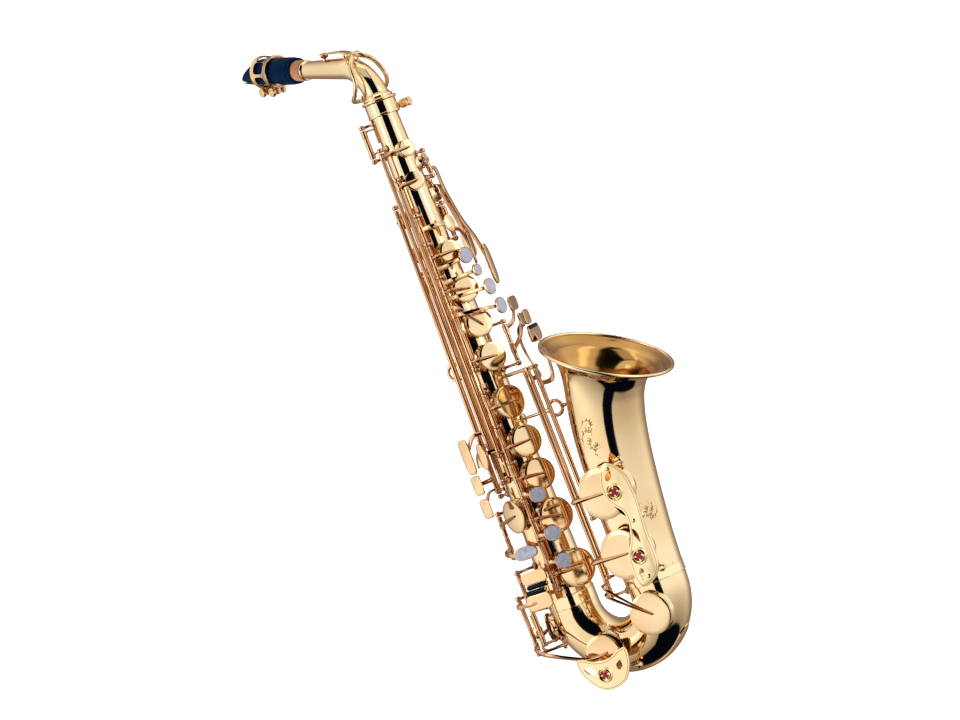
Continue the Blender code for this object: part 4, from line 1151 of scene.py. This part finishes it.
def stack_keys():
    lift = -9.0
    key = Key("front_f_key", "stack", 358.5, 381.5)
    key.touch((17, 12), polar(76, 27.5, 367), outward(76), key.at(370), polar(40, 28.5, 370), crown=1.2,
              power=1.0).build()
    key = Key("b_key", "stack", 326, 353.5, lift, True).cup("b", 342)
    key.pearl(77, 31, 334, key.at(331), polar(45, 31.5, 331)).build()
    key = Key("bis_key", "stack", 307, 321, lift, True).cup("bis", 309)
    key.pearl(88, 32, 317.5, key.at(317), polar(42, 33, 317), size=5.2).build()
    key = Key("a_key", "stack", 292.8, 306.7, lift, True).cup("a", 295)
    key.pearl(92, 37, 299, key.at(302), polar(40, 36.5, 301)).build()
    key = Key("g_key", "stack", 234.5, 291.0, lift, True).cup("g", 240)
    key.pearl(94, 40, 279, key.at(286), polar(32, 37, 285), polar(65, 40, 282)).build()
    Key("fsharp_key", "stack", 142.5, 173.5, lift, True).cup("fsharp", 154).build()
    key = Key("f_key", "stack", 108.5, 137.5, lift, True).cup("f", 124)
    key.pearl(40, 38, 105, key.at(111), polar(22, 35, 109)).build()
    key = Key("e_key", "stack", 66.5, 103.5, lift, True).cup("e", 84)
    key.pearl(40, 39, 67, key.at(69), polar(22, 36, 68)).build()
    key = Key("d_key", "stack", 17.5, 61.5, lift, True).cup("d", 30)
    key.pearl(40, 40, 40, key.at(44), polar(22, 37, 42)).build()


def side_keys():
    face = outward(-20)
    key = Key("high_e_key", "high_e", 127.5, 449.5, -9.0).cup("high_e", 446)
    key.touch((34, 13), polar(-45, 45, 158), face, key.at(175), polar(-34, 36, 174), power=0.42).build()
    key = Key("high_fsharp_key", "high_fsharp", 152.5, 418.5, -9.0).cup("high_fsharp", 414)
    key.touch((26, 10), polar(-24, 37, 154), outward(-20), key.at(156), polar(-14, 34, 156)).build()
    key = Key("side_c_key", "side_c", 120.5, 395.5, 9.0).cup("side_c", 384)
    key.touch((19, 13), polar(-48, 45, 130), face, key.at(130), polar(-55, 36.5, 130), power=0.42).build()
    key = Key("side_bb_key", "side_bb", 114.5, 329.5, 9.0).cup("side_bb", 318)
    route = (key.at(120), polar(-70, 37, 119), polar(-60, 41, 112))
    key.touch((19, 13), polar(-48, 45, 107), face, *route, power=0.42).build()
    Key("trill_key", "trill", 74.2, 94.5, -8.0).cup("trill", 86).build()
    key = Key("trill_lever", "trill", 56.3, 73.8)
    centre, face = polar(-6, 42, 58), outward(12)
    route = (key.at(62), polar(-52, 43, 61), polar(-28, 45, 59))
    key.touch((13, 24), centre, face, *route, crown=0.2, power=0.8)
    key.pearls.append(slab(oval(11.6, 22.6, 40, 0.8), centre + face * 1.0, Z, face.cross(Z), 1.6, 0.5, 0.3))
    key.build()


def palm_keys():
    key = Key("palm_f_key", "palm_f", 416.3, 436.6, 9.0).cup("palm_f", 430)
    route = (key.at(421), polar(143, 28, 419), polar(148, 30.5, 398), polar(146, 35, 368),
             polar(146, 42, 345))
    key.touch((40, 16), polar(146, 47, 318), outward(102), *route, crown=1.0, widths=(6.2, 8.4))
    key.build()
    key = Key("palm_eb_key", "palm_eb", 394.3, 411.6, 9.0).cup("palm_eb", 399)
    key.touch((30, 14), polar(170, 47, 344), outward(168), key.at(404), polar(162, 31, 403),
              polar(165, 37, 386),
              polar(169, 45, 364), crown=1.0, widths=(6.4, 8.4))
    key.build()
    key = Key("palm_d_key", "palm_d", 354.3, 384.6, -9.0).cup("palm_d", 379)
    key.touch((34, 13), polar(122, 30, 340), outward(122), key.at(362), polar(138, 28.5, 357), crown=1.0,
              widths=(7.5, 9.0)).build()


def pinky_keys():
    face = outward(6)
    around = face.cross(Z).normalized()
    key = Key("low_eb_key", "low_eb", -27.6, 38.7, 7.0).cup("low_eb", -20)
    centre = polar(-10, 40, 34)
    key.touch((12, 26), centre, face, key.at(34), polar(-28, 42.5, 34), crown=0.0, power=0.4)
    low = centre - Z * 8.5
    key.roller(low - around * 10, low + around * 10, 2.35)
    key.build()
    key = Key("low_c_key", "low_c", -35.6, 14.7, -4.5, True)
    hole = HOLES["low_c"]
    key.lid(hole)
    top = hole.cup_top() + hole.normal * 0.6
    route = [key.at(-30), Vector((-34, -36.5, -33)), Vector((-16, -43, -40)), top - Vector((14, 3.5, 0)),
             top + Vector((5, 0, 0))]
    key.arm(*route, widths=(6.0, 2.4), thicks=(3.0, 1.8), up=hole.normal, ridge=True)
    centre = polar(-10, 41, 11)
    key.touch((15, 26), centre, face, key.at(11), polar(-42, 51.5, 11), polar(-26, 47, 11), crown=0.0,
              power=0.4)
    high = centre + Z * 9.9
    key.roller(high - around * 10, high + around * 10, 2.35)
    key.build()


def bell_keys():
    face = outward(106)
    inner = [Vector((53.2, -8, 206)), Vector((46, 8, 208)), Vector((29.5, 21.5, 228)),
             Vector((22.5, 32, 248))]
    outer = [Vector((60, 6, 200)), Vector((50, 24, 222))]
    for name, low, cup_z, turn, height, size, start, route in (
            ("low_b", 12.5, 29, 146, 259.5, (14.5, 16), 206, inner),
            ("low_bb", 68.5, 88, 138, 242.0, (14.5, 31), 199, outer)):
        key = Key(name + "_key", name, low, 213.6, -8.0, True).cup(name, cup_z)
        centre = polar(turn, 52, height)
        key.touch(size, centre, face, key.at(start), *route, crown=0.2, power=0.5, widths=(5.4, 7.0))
        if name == "low_bb":
            around = face.cross(Z).normalized()
            edge = centre + Z * 7.3
            key.roller(edge - around * 11, edge + around * 11, 2.1)
        key.build()
    key = Key("low_csharp_key", "low_csharp", -5.7, 213.6, -8.0)
    hole = HOLES["low_csharp"]
    key.lid(hole)
    top = hole.cup_top() + hole.normal * 0.5
    for z in (-3.5, 4.5):
        knee = Vector((56, top.y - 1, key.at(z).z))
        key.arm(key.at(z), knee, knee.lerp(top, 0.5), top + Vector((3, 0, -1)), widths=(4.4, 1.4),
                thicks=(3.2, 1.4),
                up=hole.normal, ridge=True)
    key.build()
    key = Key("csharp_lever", "table", 225.4, 243.0)
    key.touch((13.5, 15), polar(126, 50, 259.0), face, key.at(236), polar(112, 44, 246), power=0.5,
              widths=(5.0, 6.0))
    key.build()
    key = Key("gsharp_lever", "table", 243.4, 261.6)
    key.touch((14, 32), polar(136, 50, 276), face, key.at(257), polar(112, 43, 262), power=0.5,
              widths=(4.6, 4.6))
    key.build()
    Key("gsharp_key", "stack", 178.5, 207.6, lift=-8.0).cup("gsharp", 193).build()


def octave_lever():
    key = Key("octave_lever", "octave", 342.4, 467.6)
    key.touch((20, 13), polar(-150, 25, 368), outward(-150), key.at(368), polar(-137, 26, 368))
    foot = polar(-104, 19.4, 462)
    key.arm(key.at(462), key.at(462).lerp(foot, 0.5), foot, widths=(3.6, 3.0), up=Z)
    key.rods.append(rod(foot - Z * 2, polar(-104, 18.6, 507), 1.2, 16, 0.5))
    key.build()


stack_keys()
side_keys()
palm_keys()
pinky_keys()
bell_keys()
octave_lever()

# ---------------------------------------------------------------- the neck and mouthpiece

BEND = math.radians(NECK_BEND)
NECK_TOP = NECK_BEND_R * math.sin(BEND) + TUBE_LENGTH + NECK_RISE
NECK_DIRECTION = neck_point(math.sin(BEND), 0, math.cos(BEND)).normalized()
NECK_END = neck_point(NECK_BEND_R * (1 - math.cos(BEND)), 0, NECK_TOP) + NECK_DIRECTION * NECK_RUN
NECK_SIDE = neck_point(0, 1, 0)
NECK_UP = NECK_SIDE.cross(NECK_DIRECTION).normalized()
if NECK_UP.z < 0:
    NECK_UP = -NECK_UP


def on_neck(along, side=0.0, up=0.0):
    """A point by the mouthpiece end of the neck. Along is measured from the neck's end."""
    return NECK_END + NECK_DIRECTION * along + NECK_SIDE * side + NECK_UP * up


def neck():
    points = [Vector((0, 0, TUBE_LENGTH + 0.5)), Vector((0, 0, TUBE_LENGTH + NECK_RISE))]
    for k in range(1, 29):
        t = BEND * k / 28
        rise = TUBE_LENGTH + NECK_RISE + NECK_BEND_R * math.sin(t)
        points.append(neck_point(NECK_BEND_R * (1 - math.cos(t)), 0, rise))
    points += [on_neck(-NECK_RUN * (1 - k / 12)) for k in range(1, 13)]
    lengths = [0.0]
    for a, b in zip(points, points[1:]):
        lengths.append(lengths[-1] + (b - a).length)
    radii = [NECK_R_BASE + (NECK_R_END - NECK_R_BASE) * length / lengths[-1] for length in lengths]
    shape = pipe(points, radii, TUBE_WALL, 64)
    reference = mesh_of("neck_whole", [(0, shape)])
    vent = mesh_of("cut", [(0, rod(on_neck(VENT_AT), on_neck(VENT_AT, 0, 13), 1.3, 16))])
    mesh = combine("neck_shell", reference.copy(), [vent])
    keep_curves(mesh, reference)
    made = piece("neck_shell", "neck", mesh, [LACQUER, BORE_SHADE], ["neck_tube"], angle=None)

    def faces_line(c, n):
        near = min(points, key=lambda p: (p - c).length_squared)
        return n.dot(c - near) < 0

    mark_inside(made.data, faces_line)
    pivot = on_neck(PIVOT_AT, 0, 13.0)
    z = TUBE_LENGTH
    collar = [(11.0, z + 9.2), (13.9, z + 9.2), (14.2, z + 9.6), (14.2, z + 11.2), (13.6, z + 12.0),
              (12.6, z + 12.6),
              (11.6, z + 14.6), (10.8, z + 14.6)]
    fittings_made = [lathe(collar, Vector((0, 0, 0)), Z, 64, closed=True)]
    for side in (-1, 1):
        start, end = on_neck(PIVOT_AT, side * 6.2, 5.5), pivot + NECK_SIDE * side * 7.5
        reach = (end - start).length
        fittings_made.append(lathe([(2.6, -0.4), (2.4, 0.8), (1.5, 1.6), (1.25, reach * 0.6), (1.7, reach)],
                                   start,
                                   end - start, 16))
        ball = [(math.sqrt(2.6 ** 2 - h * h), h) for h in (-1.8, -1.4, -0.8, 0, 0.8, 1.4, 1.8)]
        fittings_made.append(lathe(ball, end, NECK_SIDE, 20))
        fittings_made.append(lathe([(1.4, 0), (1.4, 0.5), (0.7, 0.8), (0.01, 0.5)],
                                   end + NECK_SIDE * side * 1.8,
                                   NECK_SIDE * side, 14))
    pip = [(4.2, 5.6), (4.0, 7.6), (2.9, 8.4), (2.5, 9.4), (2.5, 10.6), (2.2, 11.1), (1.3, 11.1),
           (1.3, 5.6)]
    fittings_made.append(lathe(pip, on_neck(VENT_AT), NECK_UP, 28, closed=True))
    simple("neck_fittings", "neck", fittings_made, LACQUER)
    ring = [(7.0, -28.4), (9.3, -28.4), (9.8, -27.8), (9.8, -26.6), (9.3, -26.0), (7.0, -26.0)]
    simple("cork_ring", "neck", [lathe(ring, on_neck(0), NECK_DIRECTION, 48, closed=True)], LACQUER)
    lip = [(6.7, -1.6), (8.1, -1.6), (8.2, -0.6), (7.8, -0.05), (6.9, -0.05)]
    simple("neck_end_ring", "neck", [lathe(lip, on_neck(0), NECK_DIRECTION, 48, closed=True)], LACQUER)
    sleeve = [(8.7, -25.0), (9.8, -25.0), (10.1, -24.4), (10.1, -20), (10.0, -12), (9.8, -1.4), (9.3, -0.5),
              (8.5, -0.5)]
    simple("cork_sleeve", "neck", [lathe(sleeve, on_neck(0), NECK_DIRECTION, 64, closed=True)], CORK,
           ["neck_cork"])
    return pivot


def neck_octave_key(pivot):
    """The neck's octave key: a leaf over the vent with its pad, and a loop of rod round the neck."""
    top = on_neck(VENT_AT, 0, 11.5)
    metal = [rod(pivot - NECK_SIDE * 5.3, pivot + NECK_SIDE * 5.3, 2.15, 20)]
    metal.append(limb([pivot + NECK_UP * 0.8, on_neck(VENT_AT - 29, 0, 16.0),
                       on_neck(VENT_AT - 15, 0, 15.6), top + NECK_UP * 3.2],
                      (9.0, 4.4), (2.2, 1.8), NECK_UP))
    metal.append(lathe([(3.6, 2.0), (4.5, 2.2), (4.6, 2.8), (4.2, 3.6), (2.6, 4.2), (0.01, 4.4)], top,
                       NECK_UP, 28))
    loop = [(15.2, 3.4, 546), (9, 4.5, 543.5), (5, 11, 538), (3, 15, 532), (0, 18, 519), (6, 19, 509),
            (18.5, 14, 504),
            (24, 0, 503)]
    for side in (-1, 1):
        branch = curve_through([neck_point(a, w * side, z) for a, w, z in loop], 7)
        count = len(branch) - 1
        metal.append(sweep(branch, [2.5 - 0.6 * k / count for k in range(count + 1)], 16))
    simple("octave_loop", "neck_octave_key", metal, KEY_LACQUER, ["neck_octave_key"])
    simple("octave_loop_pad", "neck_octave_key", [lathe([(0.01, 0), (3.2, 0), (3.7, 0.4), (3.7, 2.1)], top,
                                                        NECK_UP, 28)],
           FELT)


def slab_along(stations, side=20.0):
    """A block along the neck's direction, from (along, low, high) stations."""
    rings = []
    for along, low, high in stations:
        rings.append([on_neck(along, w, h) for w, h in ((-side, low), (side, low), (side, high),
                                                        (-side, high))])
    return skin(rings)


def mouthpiece():
    """A turned body, planed flat below for the reed and cut away above to form the beak."""
    start = -MOUTHPIECE_START
    turned = [(10.2, start), (11.8, start), (12.5, start + 0.6), (12.6, start + 3.2), (12.2, start + 3.6),
              (12.2, start + 4.3), (12.8, start + 4.8), (13.1, start + 7), (13.2, 12), (13.0, 40),
              (12.8, 46),
              (11.4, 60), (8.9, 74), (8.4, 75.5)]
    whole = mesh_of("mouthpiece", [(0, lathe(turned, on_neck(0), NECK_DIRECTION, 96))])
    table = [(10.5, -30, -13.3), (13, -30, -9.9), (16, -30, -9.6), (42, -30, -9.6), (60, -30, -9.5),
             (80, -30, -8.0)]
    beak = [(42.0, 13.3, 40), (45, 12.2, 40), (50, 9.4, 40), (56, 5.7, 40), (64, 0.6, 40), (71, -4.2, 40),
            (80, -10.0, 40)]
    cuts = [slab_along(table), slab_along(beak)]
    cuts.append(rod(on_neck(start - 2), on_neck(8), 10.5, 48))
    cuts.append(rod(on_neck(5), on_neck(44, 0, -1), 5.6, 32))
    cuts.append(limb([on_neck(40, 0, -9), on_neck(55, 0, -8.8), on_neck(69, 0, -8.6)], (9.6, 9.6), (7, 4),
                     NECK_UP))
    mesh = combine("mouthpiece_body", whole, [mesh_of("cut", [(0, cut)]) for cut in cuts])
    piece("mouthpiece_body", "mouthpiece", mesh, [EBONITE], ["mouthpiece"], angle=30)
    rings = []
    for along, width, top, low in ((14, 6.4, 9.9, 12.9), (15, 6.5, 9.9, 13.0), (46, 6.6, 9.9, 12.9),
                                   (49, 6.6, 9.85, 12.3),
                                   (60, 6.5, 9.6, 11.0), (70, 6.4, 9.35, 10.0), (73.2, 6.0, 9.2, 9.75),
                                   (74.0, 5.2, 9.2, 9.6)):
        ring = []
        for k in range(32):
            t = 2 * math.pi * k / 32
            c, s = math.cos(t), math.sin(t)
            side = width * math.copysign(abs(c) ** 0.35, c)
            middle, half = (top + low) / 2, (low - top) / 2
            round_back = half * abs(s) ** 0.5
            if s <= 0:
                round_back = half * abs(s) ** 0.6 * (1 - 0.22 * (side / width) ** 2)
            ring.append(on_neck(along, side, -middle + math.copysign(round_back, s)))
        rings.append(ring)
    simple("reed_blade", "mouthpiece", [skin(rings)], CANE, ["reed"])


def ligature():
    """Two bands joined by bars, with rails and knurled screws below."""
    radius = 15.9
    profile = [(radius - 1.3, 20), (radius - 0.5, 20), (radius, 20.5), (radius, 23.6), (radius - 0.3, 24.2),
               (radius - 0.3, 41.8), (radius, 42.4), (radius, 45.5), (radius - 0.5, 46), (radius - 1.3, 46)]
    band = mesh_of("band", [(0, lathe(profile, on_neck(0), NECK_DIRECTION, 96, closed=True))])
    cuts = []
    for angle in (-28, 28, 84, 152):
        t = math.radians(angle)
        way = NECK_SIDE * math.cos(t) + NECK_UP * math.sin(t)
        across = NECK_DIRECTION.cross(way)
        spot = on_neck(33) + way * 15
        outline = oval(15.0, 17.0 if angle in (84,) else 12.0, 36, 0.45)
        points = [spot + NECK_DIRECTION * a + across * b for a, b in outline]
        cuts.append(mesh_of("cut", [(0, skin([[p - way * 5 for p in points],
                                              [p + way * 5 for p in points]]))]))
    piece("ligature_bands", "ligature", combine("ligature_bands", band, cuts), [KEY_LACQUER], ["ligature"])
    rails = []
    lug = on_neck(33, 0, -17.6)
    for side in (-1, 1):
        ends = [lug + NECK_SIDE * side * 3.2 + NECK_DIRECTION * a for a in (-12.6, 0, 12.6)]
        rails.append(limb(ends, (2.8, 2.8), (6.4, 6.4), NECK_UP, 3))
        for along in (25, 41):
            spot = on_neck(along, side * 3.2, -18.2)
            rails.append(lathe([(1.7, -1.8), (3.3, -1.8), (3.5, -1.5), (3.5, 1.5), (3.3, 1.8), (1.7, 1.8)],
                               spot,
                               NECK_SIDE, 24, closed=True))
    simple("ligature_rails", "ligature", rails, KEY_LACQUER)
    for number, along in enumerate((25, 41), start=1):
        head = on_neck(along, 7.0, -18.2)
        knob = [(1.3, -0.6), (3.0, -0.2), (3.4, 0.2), (4.3, 0.5), (4.45, 0.9), (4.45, 3.2), (4.2, 3.6),
                (2.6, 3.7),
                (2.2, 3.4), (0.01, 3.4)]
        shapes = [rod(on_neck(along, -6.4, -18.2), on_neck(along, 9, -18.2), 1.25, 14),
                  lathe(knob, head, NECK_SIDE, 40)]
        for k in range(18):
            t = 2 * math.pi * k / 18
            out = (NECK_DIRECTION * math.cos(t) + NECK_UP * math.sin(t)) * 4.2
            shapes.append(rod(head + out + NECK_SIDE * 0.9, head + out + NECK_SIDE * 3.3, 0.4, 6))
        simple(f"ligature_knob_{number}", f"ligature_screw_{number}", shapes, KEY_LACQUER,
               [f"ligature_screw_{number}"])


neck_octave_key(neck())
mouthpiece()
ligature()

# ---------------------------------------------------------------- engraving on the bell


def bell_surface(turn, z, lift=0.06):
    """A point just over the bell's outside. Turn is degrees from the player's right, as for polar."""
    x, radius = bell_at(z)
    return Vector((x, 0, z)) + outward(turn) * (radius + lift)


def engraved_line(points, width):
    """A shallow groove drawn as a thin ribbon on the bell's skin. Points are (turn, z) pairs."""
    path = curve_through([Vector((a, b, 0)) for a, b in points], 5)
    count = len(path) - 1
    rings = []
    for i, p in enumerate(path):
        here = bell_surface(p.x, p.y)
        ahead = bell_surface(path[min(i + 1, count)].x, path[min(i + 1, count)].y)
        behind = bell_surface(path[max(i - 1, 0)].x, path[max(i - 1, 0)].y)
        normal = outward(p.x)
        side = (ahead - behind).cross(normal).normalized()
        half = width / 2 * (0.25 + 0.75 * math.sin(math.pi * min(max(i / count, 0.02), 0.98)))
        rings.append([here - side * half - normal * 0.3, here - side * half, here + side * half,
                      here + side * half - normal * 0.3])
    return skin(rings)


def foliage():
    """Generic leaf scrolls: stems that curl, with a leaf at each side, cut as real grooves whose dark colour
    is painted shade.
    """
    shapes = []
    chance = random.Random(7)
    for turn, z, size, heading in ((-4, 139, 15, 70), (-2, 137, 12, 160), (-6, 147, 11, 20),
                                   (6, 128, 10, 110),
                                   (57, 62, 13, 60), (59, 60, 12, 150), (55, 58, 10, -40),
                                   (58, 57, 10, 230)):
        stem = []
        for k in range(8):
            t = k / 7
            bend = math.radians(heading + 150 * t * t)
            step = size * t
            stem.append((turn + math.cos(bend) * step * 1.55, z + math.sin(bend) * step))
        shapes.append(engraved_line(stem, 0.55))
        for k in (2, 3, 4, 5, 6):
            a, b = stem[k]
            for way in (-1, 1):
                lean = math.radians(heading + 60 * way + 25 * k + chance.uniform(-8, 8))
                reach = size * (0.34 - 0.03 * k)
                tip = (a + math.cos(lean) * reach * 1.55, b + math.sin(lean) * reach)
                middle = ((a + tip[0]) / 2 + 0.5 * way, (b + tip[1]) / 2 + 0.4)
                shapes.append(engraved_line([(a, b), middle, tip], 0.8))
    simple("bell_engraving", "body", shapes, ENGRAVING_SHADE)


foliage()

# ---------------------------------------------------------------- floor, light and camera

VIEW_TURN, VIEW_RISE, VIEW_ROLL = 30.0, 2.0, 21.2
CAMERA_AWAY = 3.0
LENS, SENSOR = 120.9, 36.0
FLOOR_DROP = 0.42
# The colour the lacquer mirrors at each height (0 is straight down and 1 straight up), and two darker ones
SKY = ((0.05, (0.25, 0.22, 0.20)), (0.30, (0.62, 0.62, 0.64)), (0.44, (0.98, 1.0, 1.06)),
       (0.50, (0.84, 0.87, 0.93)), (0.60, (0.80, 0.83, 0.88)), (0.95, (0.86, 0.88, 0.92)))
NIGHT = (0.003, 0.005, 0.014)
DUSK = (0.16, 0.10, 0.07)
# The dark gap, in sines of its angle: its middle and half width low down, and what each gains higher up
GAP_MIDDLE, GAP_MIDDLE_GAIN = -0.12, 0.12
GAP_HALF, GAP_HALF_GAIN = 0.20, 0.22


def floor():
    edit = bmesh.new()
    bmesh.ops.create_circle(edit, cap_ends=True, segments=96, radius=30.0)
    mesh = bpy.data.meshes.new("floor")
    edit.to_mesh(mesh)
    edit.free()
    made = bpy.data.objects.new("floor", mesh)
    bpy.context.scene.collection.objects.link(made)
    made.location = (0, 0, -FLOOR_DROP)
    nodes = Nodes("floor_paper").fixed(roughness=0.9)
    nodes.colour(nodes.ramp(nodes.noise(3.0), ((0.3, (0.93, 0.93, 0.93)), (0.7, (0.96, 0.96, 0.96)))))
    nodes.shader.inputs["Emission Color"].default_value = (1, 1, 1, 1)
    nodes.shader.inputs["Emission Strength"].default_value = 0.55
    mesh.materials.append(nodes.made)
    made.visible_glossy = False


def studio():
    """A white tent with a dark gap where the camera looks in, as the lacquer would mirror it."""
    world = bpy.data.worlds.new("studio")
    bpy.context.scene.world = world
    world.use_nodes = True
    tree = world.node_tree
    background, output = tree.nodes["Background"], tree.nodes["World Output"]

    def add(kind, **values):
        node = tree.nodes.new(kind)
        for key, value in values.items():
            setattr(node, key, value)
        return node

    def maths(kind, *values):
        node = add("ShaderNodeMath", operation=kind)
        for socket, value in zip(node.inputs, values):
            if isinstance(value, (int, float)):
                socket.default_value = value
            else:
                tree.links.new(value, socket)
        return node.outputs[0]

    def smooth(value, start, end):
        node = add("ShaderNodeMapRange", interpolation_type="SMOOTHSTEP")
        tree.links.new(value, node.inputs["Value"])
        node.inputs["From Min"].default_value = start
        node.inputs["From Max"].default_value = end
        return node.outputs["Result"]

    def along(direction):
        node = add("ShaderNodeVectorMath", operation="DOT_PRODUCT")
        tree.links.new(where, node.inputs[0])
        node.inputs[1].default_value = direction
        return node.outputs["Value"]

    where = add("ShaderNodeTexCoord").outputs["Generated"]
    towards = along(outward(VIEW_TURN))
    aside = along(outward(VIEW_TURN + 90))
    height = along(Z)
    level = smooth(height, -0.10, -0.02)
    centre = maths("MULTIPLY_ADD", level, GAP_MIDDLE_GAIN, GAP_MIDDLE)
    half = maths("MULTIPLY_ADD", level, GAP_HALF_GAIN, GAP_HALF)
    beside = maths("SUBTRACT", maths("ABSOLUTE", maths("SUBTRACT", aside, centre)), half)
    gap = maths("SUBTRACT", 1.0, smooth(beside, 0.0, 0.04))
    front = smooth(towards, 0.0, 0.1)
    dark = maths("MULTIPLY", gap, front)
    below = maths("SUBTRACT", 1.0, smooth(height, -0.86, -0.80))
    dark = maths("MAXIMUM", dark, below)
    ramp = add("ShaderNodeValToRGB")
    elements = ramp.color_ramp.elements
    while len(elements) < len(SKY):
        elements.new(0.5)
    for element, (at, colour) in zip(elements, SKY):
        element.position = at
        element.color = (*colour, 1.0)
    tree.links.new(maths("ADD", maths("MULTIPLY", height, 0.5), 0.5), ramp.inputs["Fac"])
    back = add("ShaderNodeMix", data_type="RGBA")
    tree.links.new(maths("MULTIPLY", smooth(maths("MULTIPLY", towards, -1.0), 0.2, 0.9), 0.85),
                   back.inputs[0])
    tree.links.new(ramp.outputs["Color"], back.inputs[6])
    back.inputs[7].default_value = (*DUSK, 1.0)
    mix = add("ShaderNodeMix", data_type="RGBA")
    tree.links.new(dark, mix.inputs[0])
    tree.links.new(back.outputs[2], mix.inputs[6])
    mix.inputs[7].default_value = (*NIGHT, 1.0)
    tree.links.new(mix.outputs[2], background.inputs["Color"])
    white = add("ShaderNodeBackground")
    chooser = add("ShaderNodeMixShader")
    path = add("ShaderNodeLightPath")
    tree.links.new(path.outputs["Is Camera Ray"], chooser.inputs["Fac"])
    tree.links.new(background.outputs["Background"], chooser.inputs[1])
    tree.links.new(white.outputs["Background"], chooser.inputs[2])
    tree.links.new(chooser.outputs["Shader"], output.inputs["Surface"])
    white.inputs["Color"].default_value = (1, 1, 1, 1)


def softbox(name, turn, rise, away, size, power):
    light = bpy.data.lights.new(name, "AREA")
    light.shape = "RECTANGLE"
    light.size, light.size_y = size
    light.energy = power
    made = bpy.data.objects.new(name, light)
    bpy.context.scene.collection.objects.link(made)
    way = outward(turn) * math.cos(math.radians(rise)) + Z * math.sin(math.radians(rise))
    made.location = way * away
    made.rotation_mode = "QUATERNION"
    made.rotation_quaternion = way.to_track_quat("Z", "Y")


def camera():
    target = (Vector((0.2, 0.2, 238)) - STRAP_RING) * MM
    away = outward(VIEW_TURN) * math.cos(math.radians(VIEW_RISE)) + Z * math.sin(math.radians(VIEW_RISE))
    roll = math.radians(VIEW_ROLL)
    right = outward(VIEW_TURN + 90)
    up = away.cross(right) * math.cos(roll) + right * math.sin(roll)
    side = up.cross(away)
    made = bpy.data.objects.new("camera", bpy.data.cameras.new("camera"))
    bpy.context.scene.collection.objects.link(made)
    turn = Matrix((side, up, away)).transposed().to_4x4()
    made.matrix_world = Matrix.Translation(target + away * CAMERA_AWAY) @ turn
    made.data.lens = LENS
    made.data.sensor_width = SENSOR
    bpy.context.scene.camera = made


floor()
studio()
softbox("left_softbox", VIEW_TURN - 62, 18, 1.9, (0.7, 1.5), 3.0)
softbox("right_softbox", VIEW_TURN + 58, 12, 1.9, (0.6, 1.5), 2.4)
softbox("top_softbox", VIEW_TURN, 75, 2.0, (1.4, 1.4), 3.5)
camera()
bpy.context.scene.view_settings.view_transform = "Standard"
bpy.context.scene.view_settings.look = "Medium High Contrast"
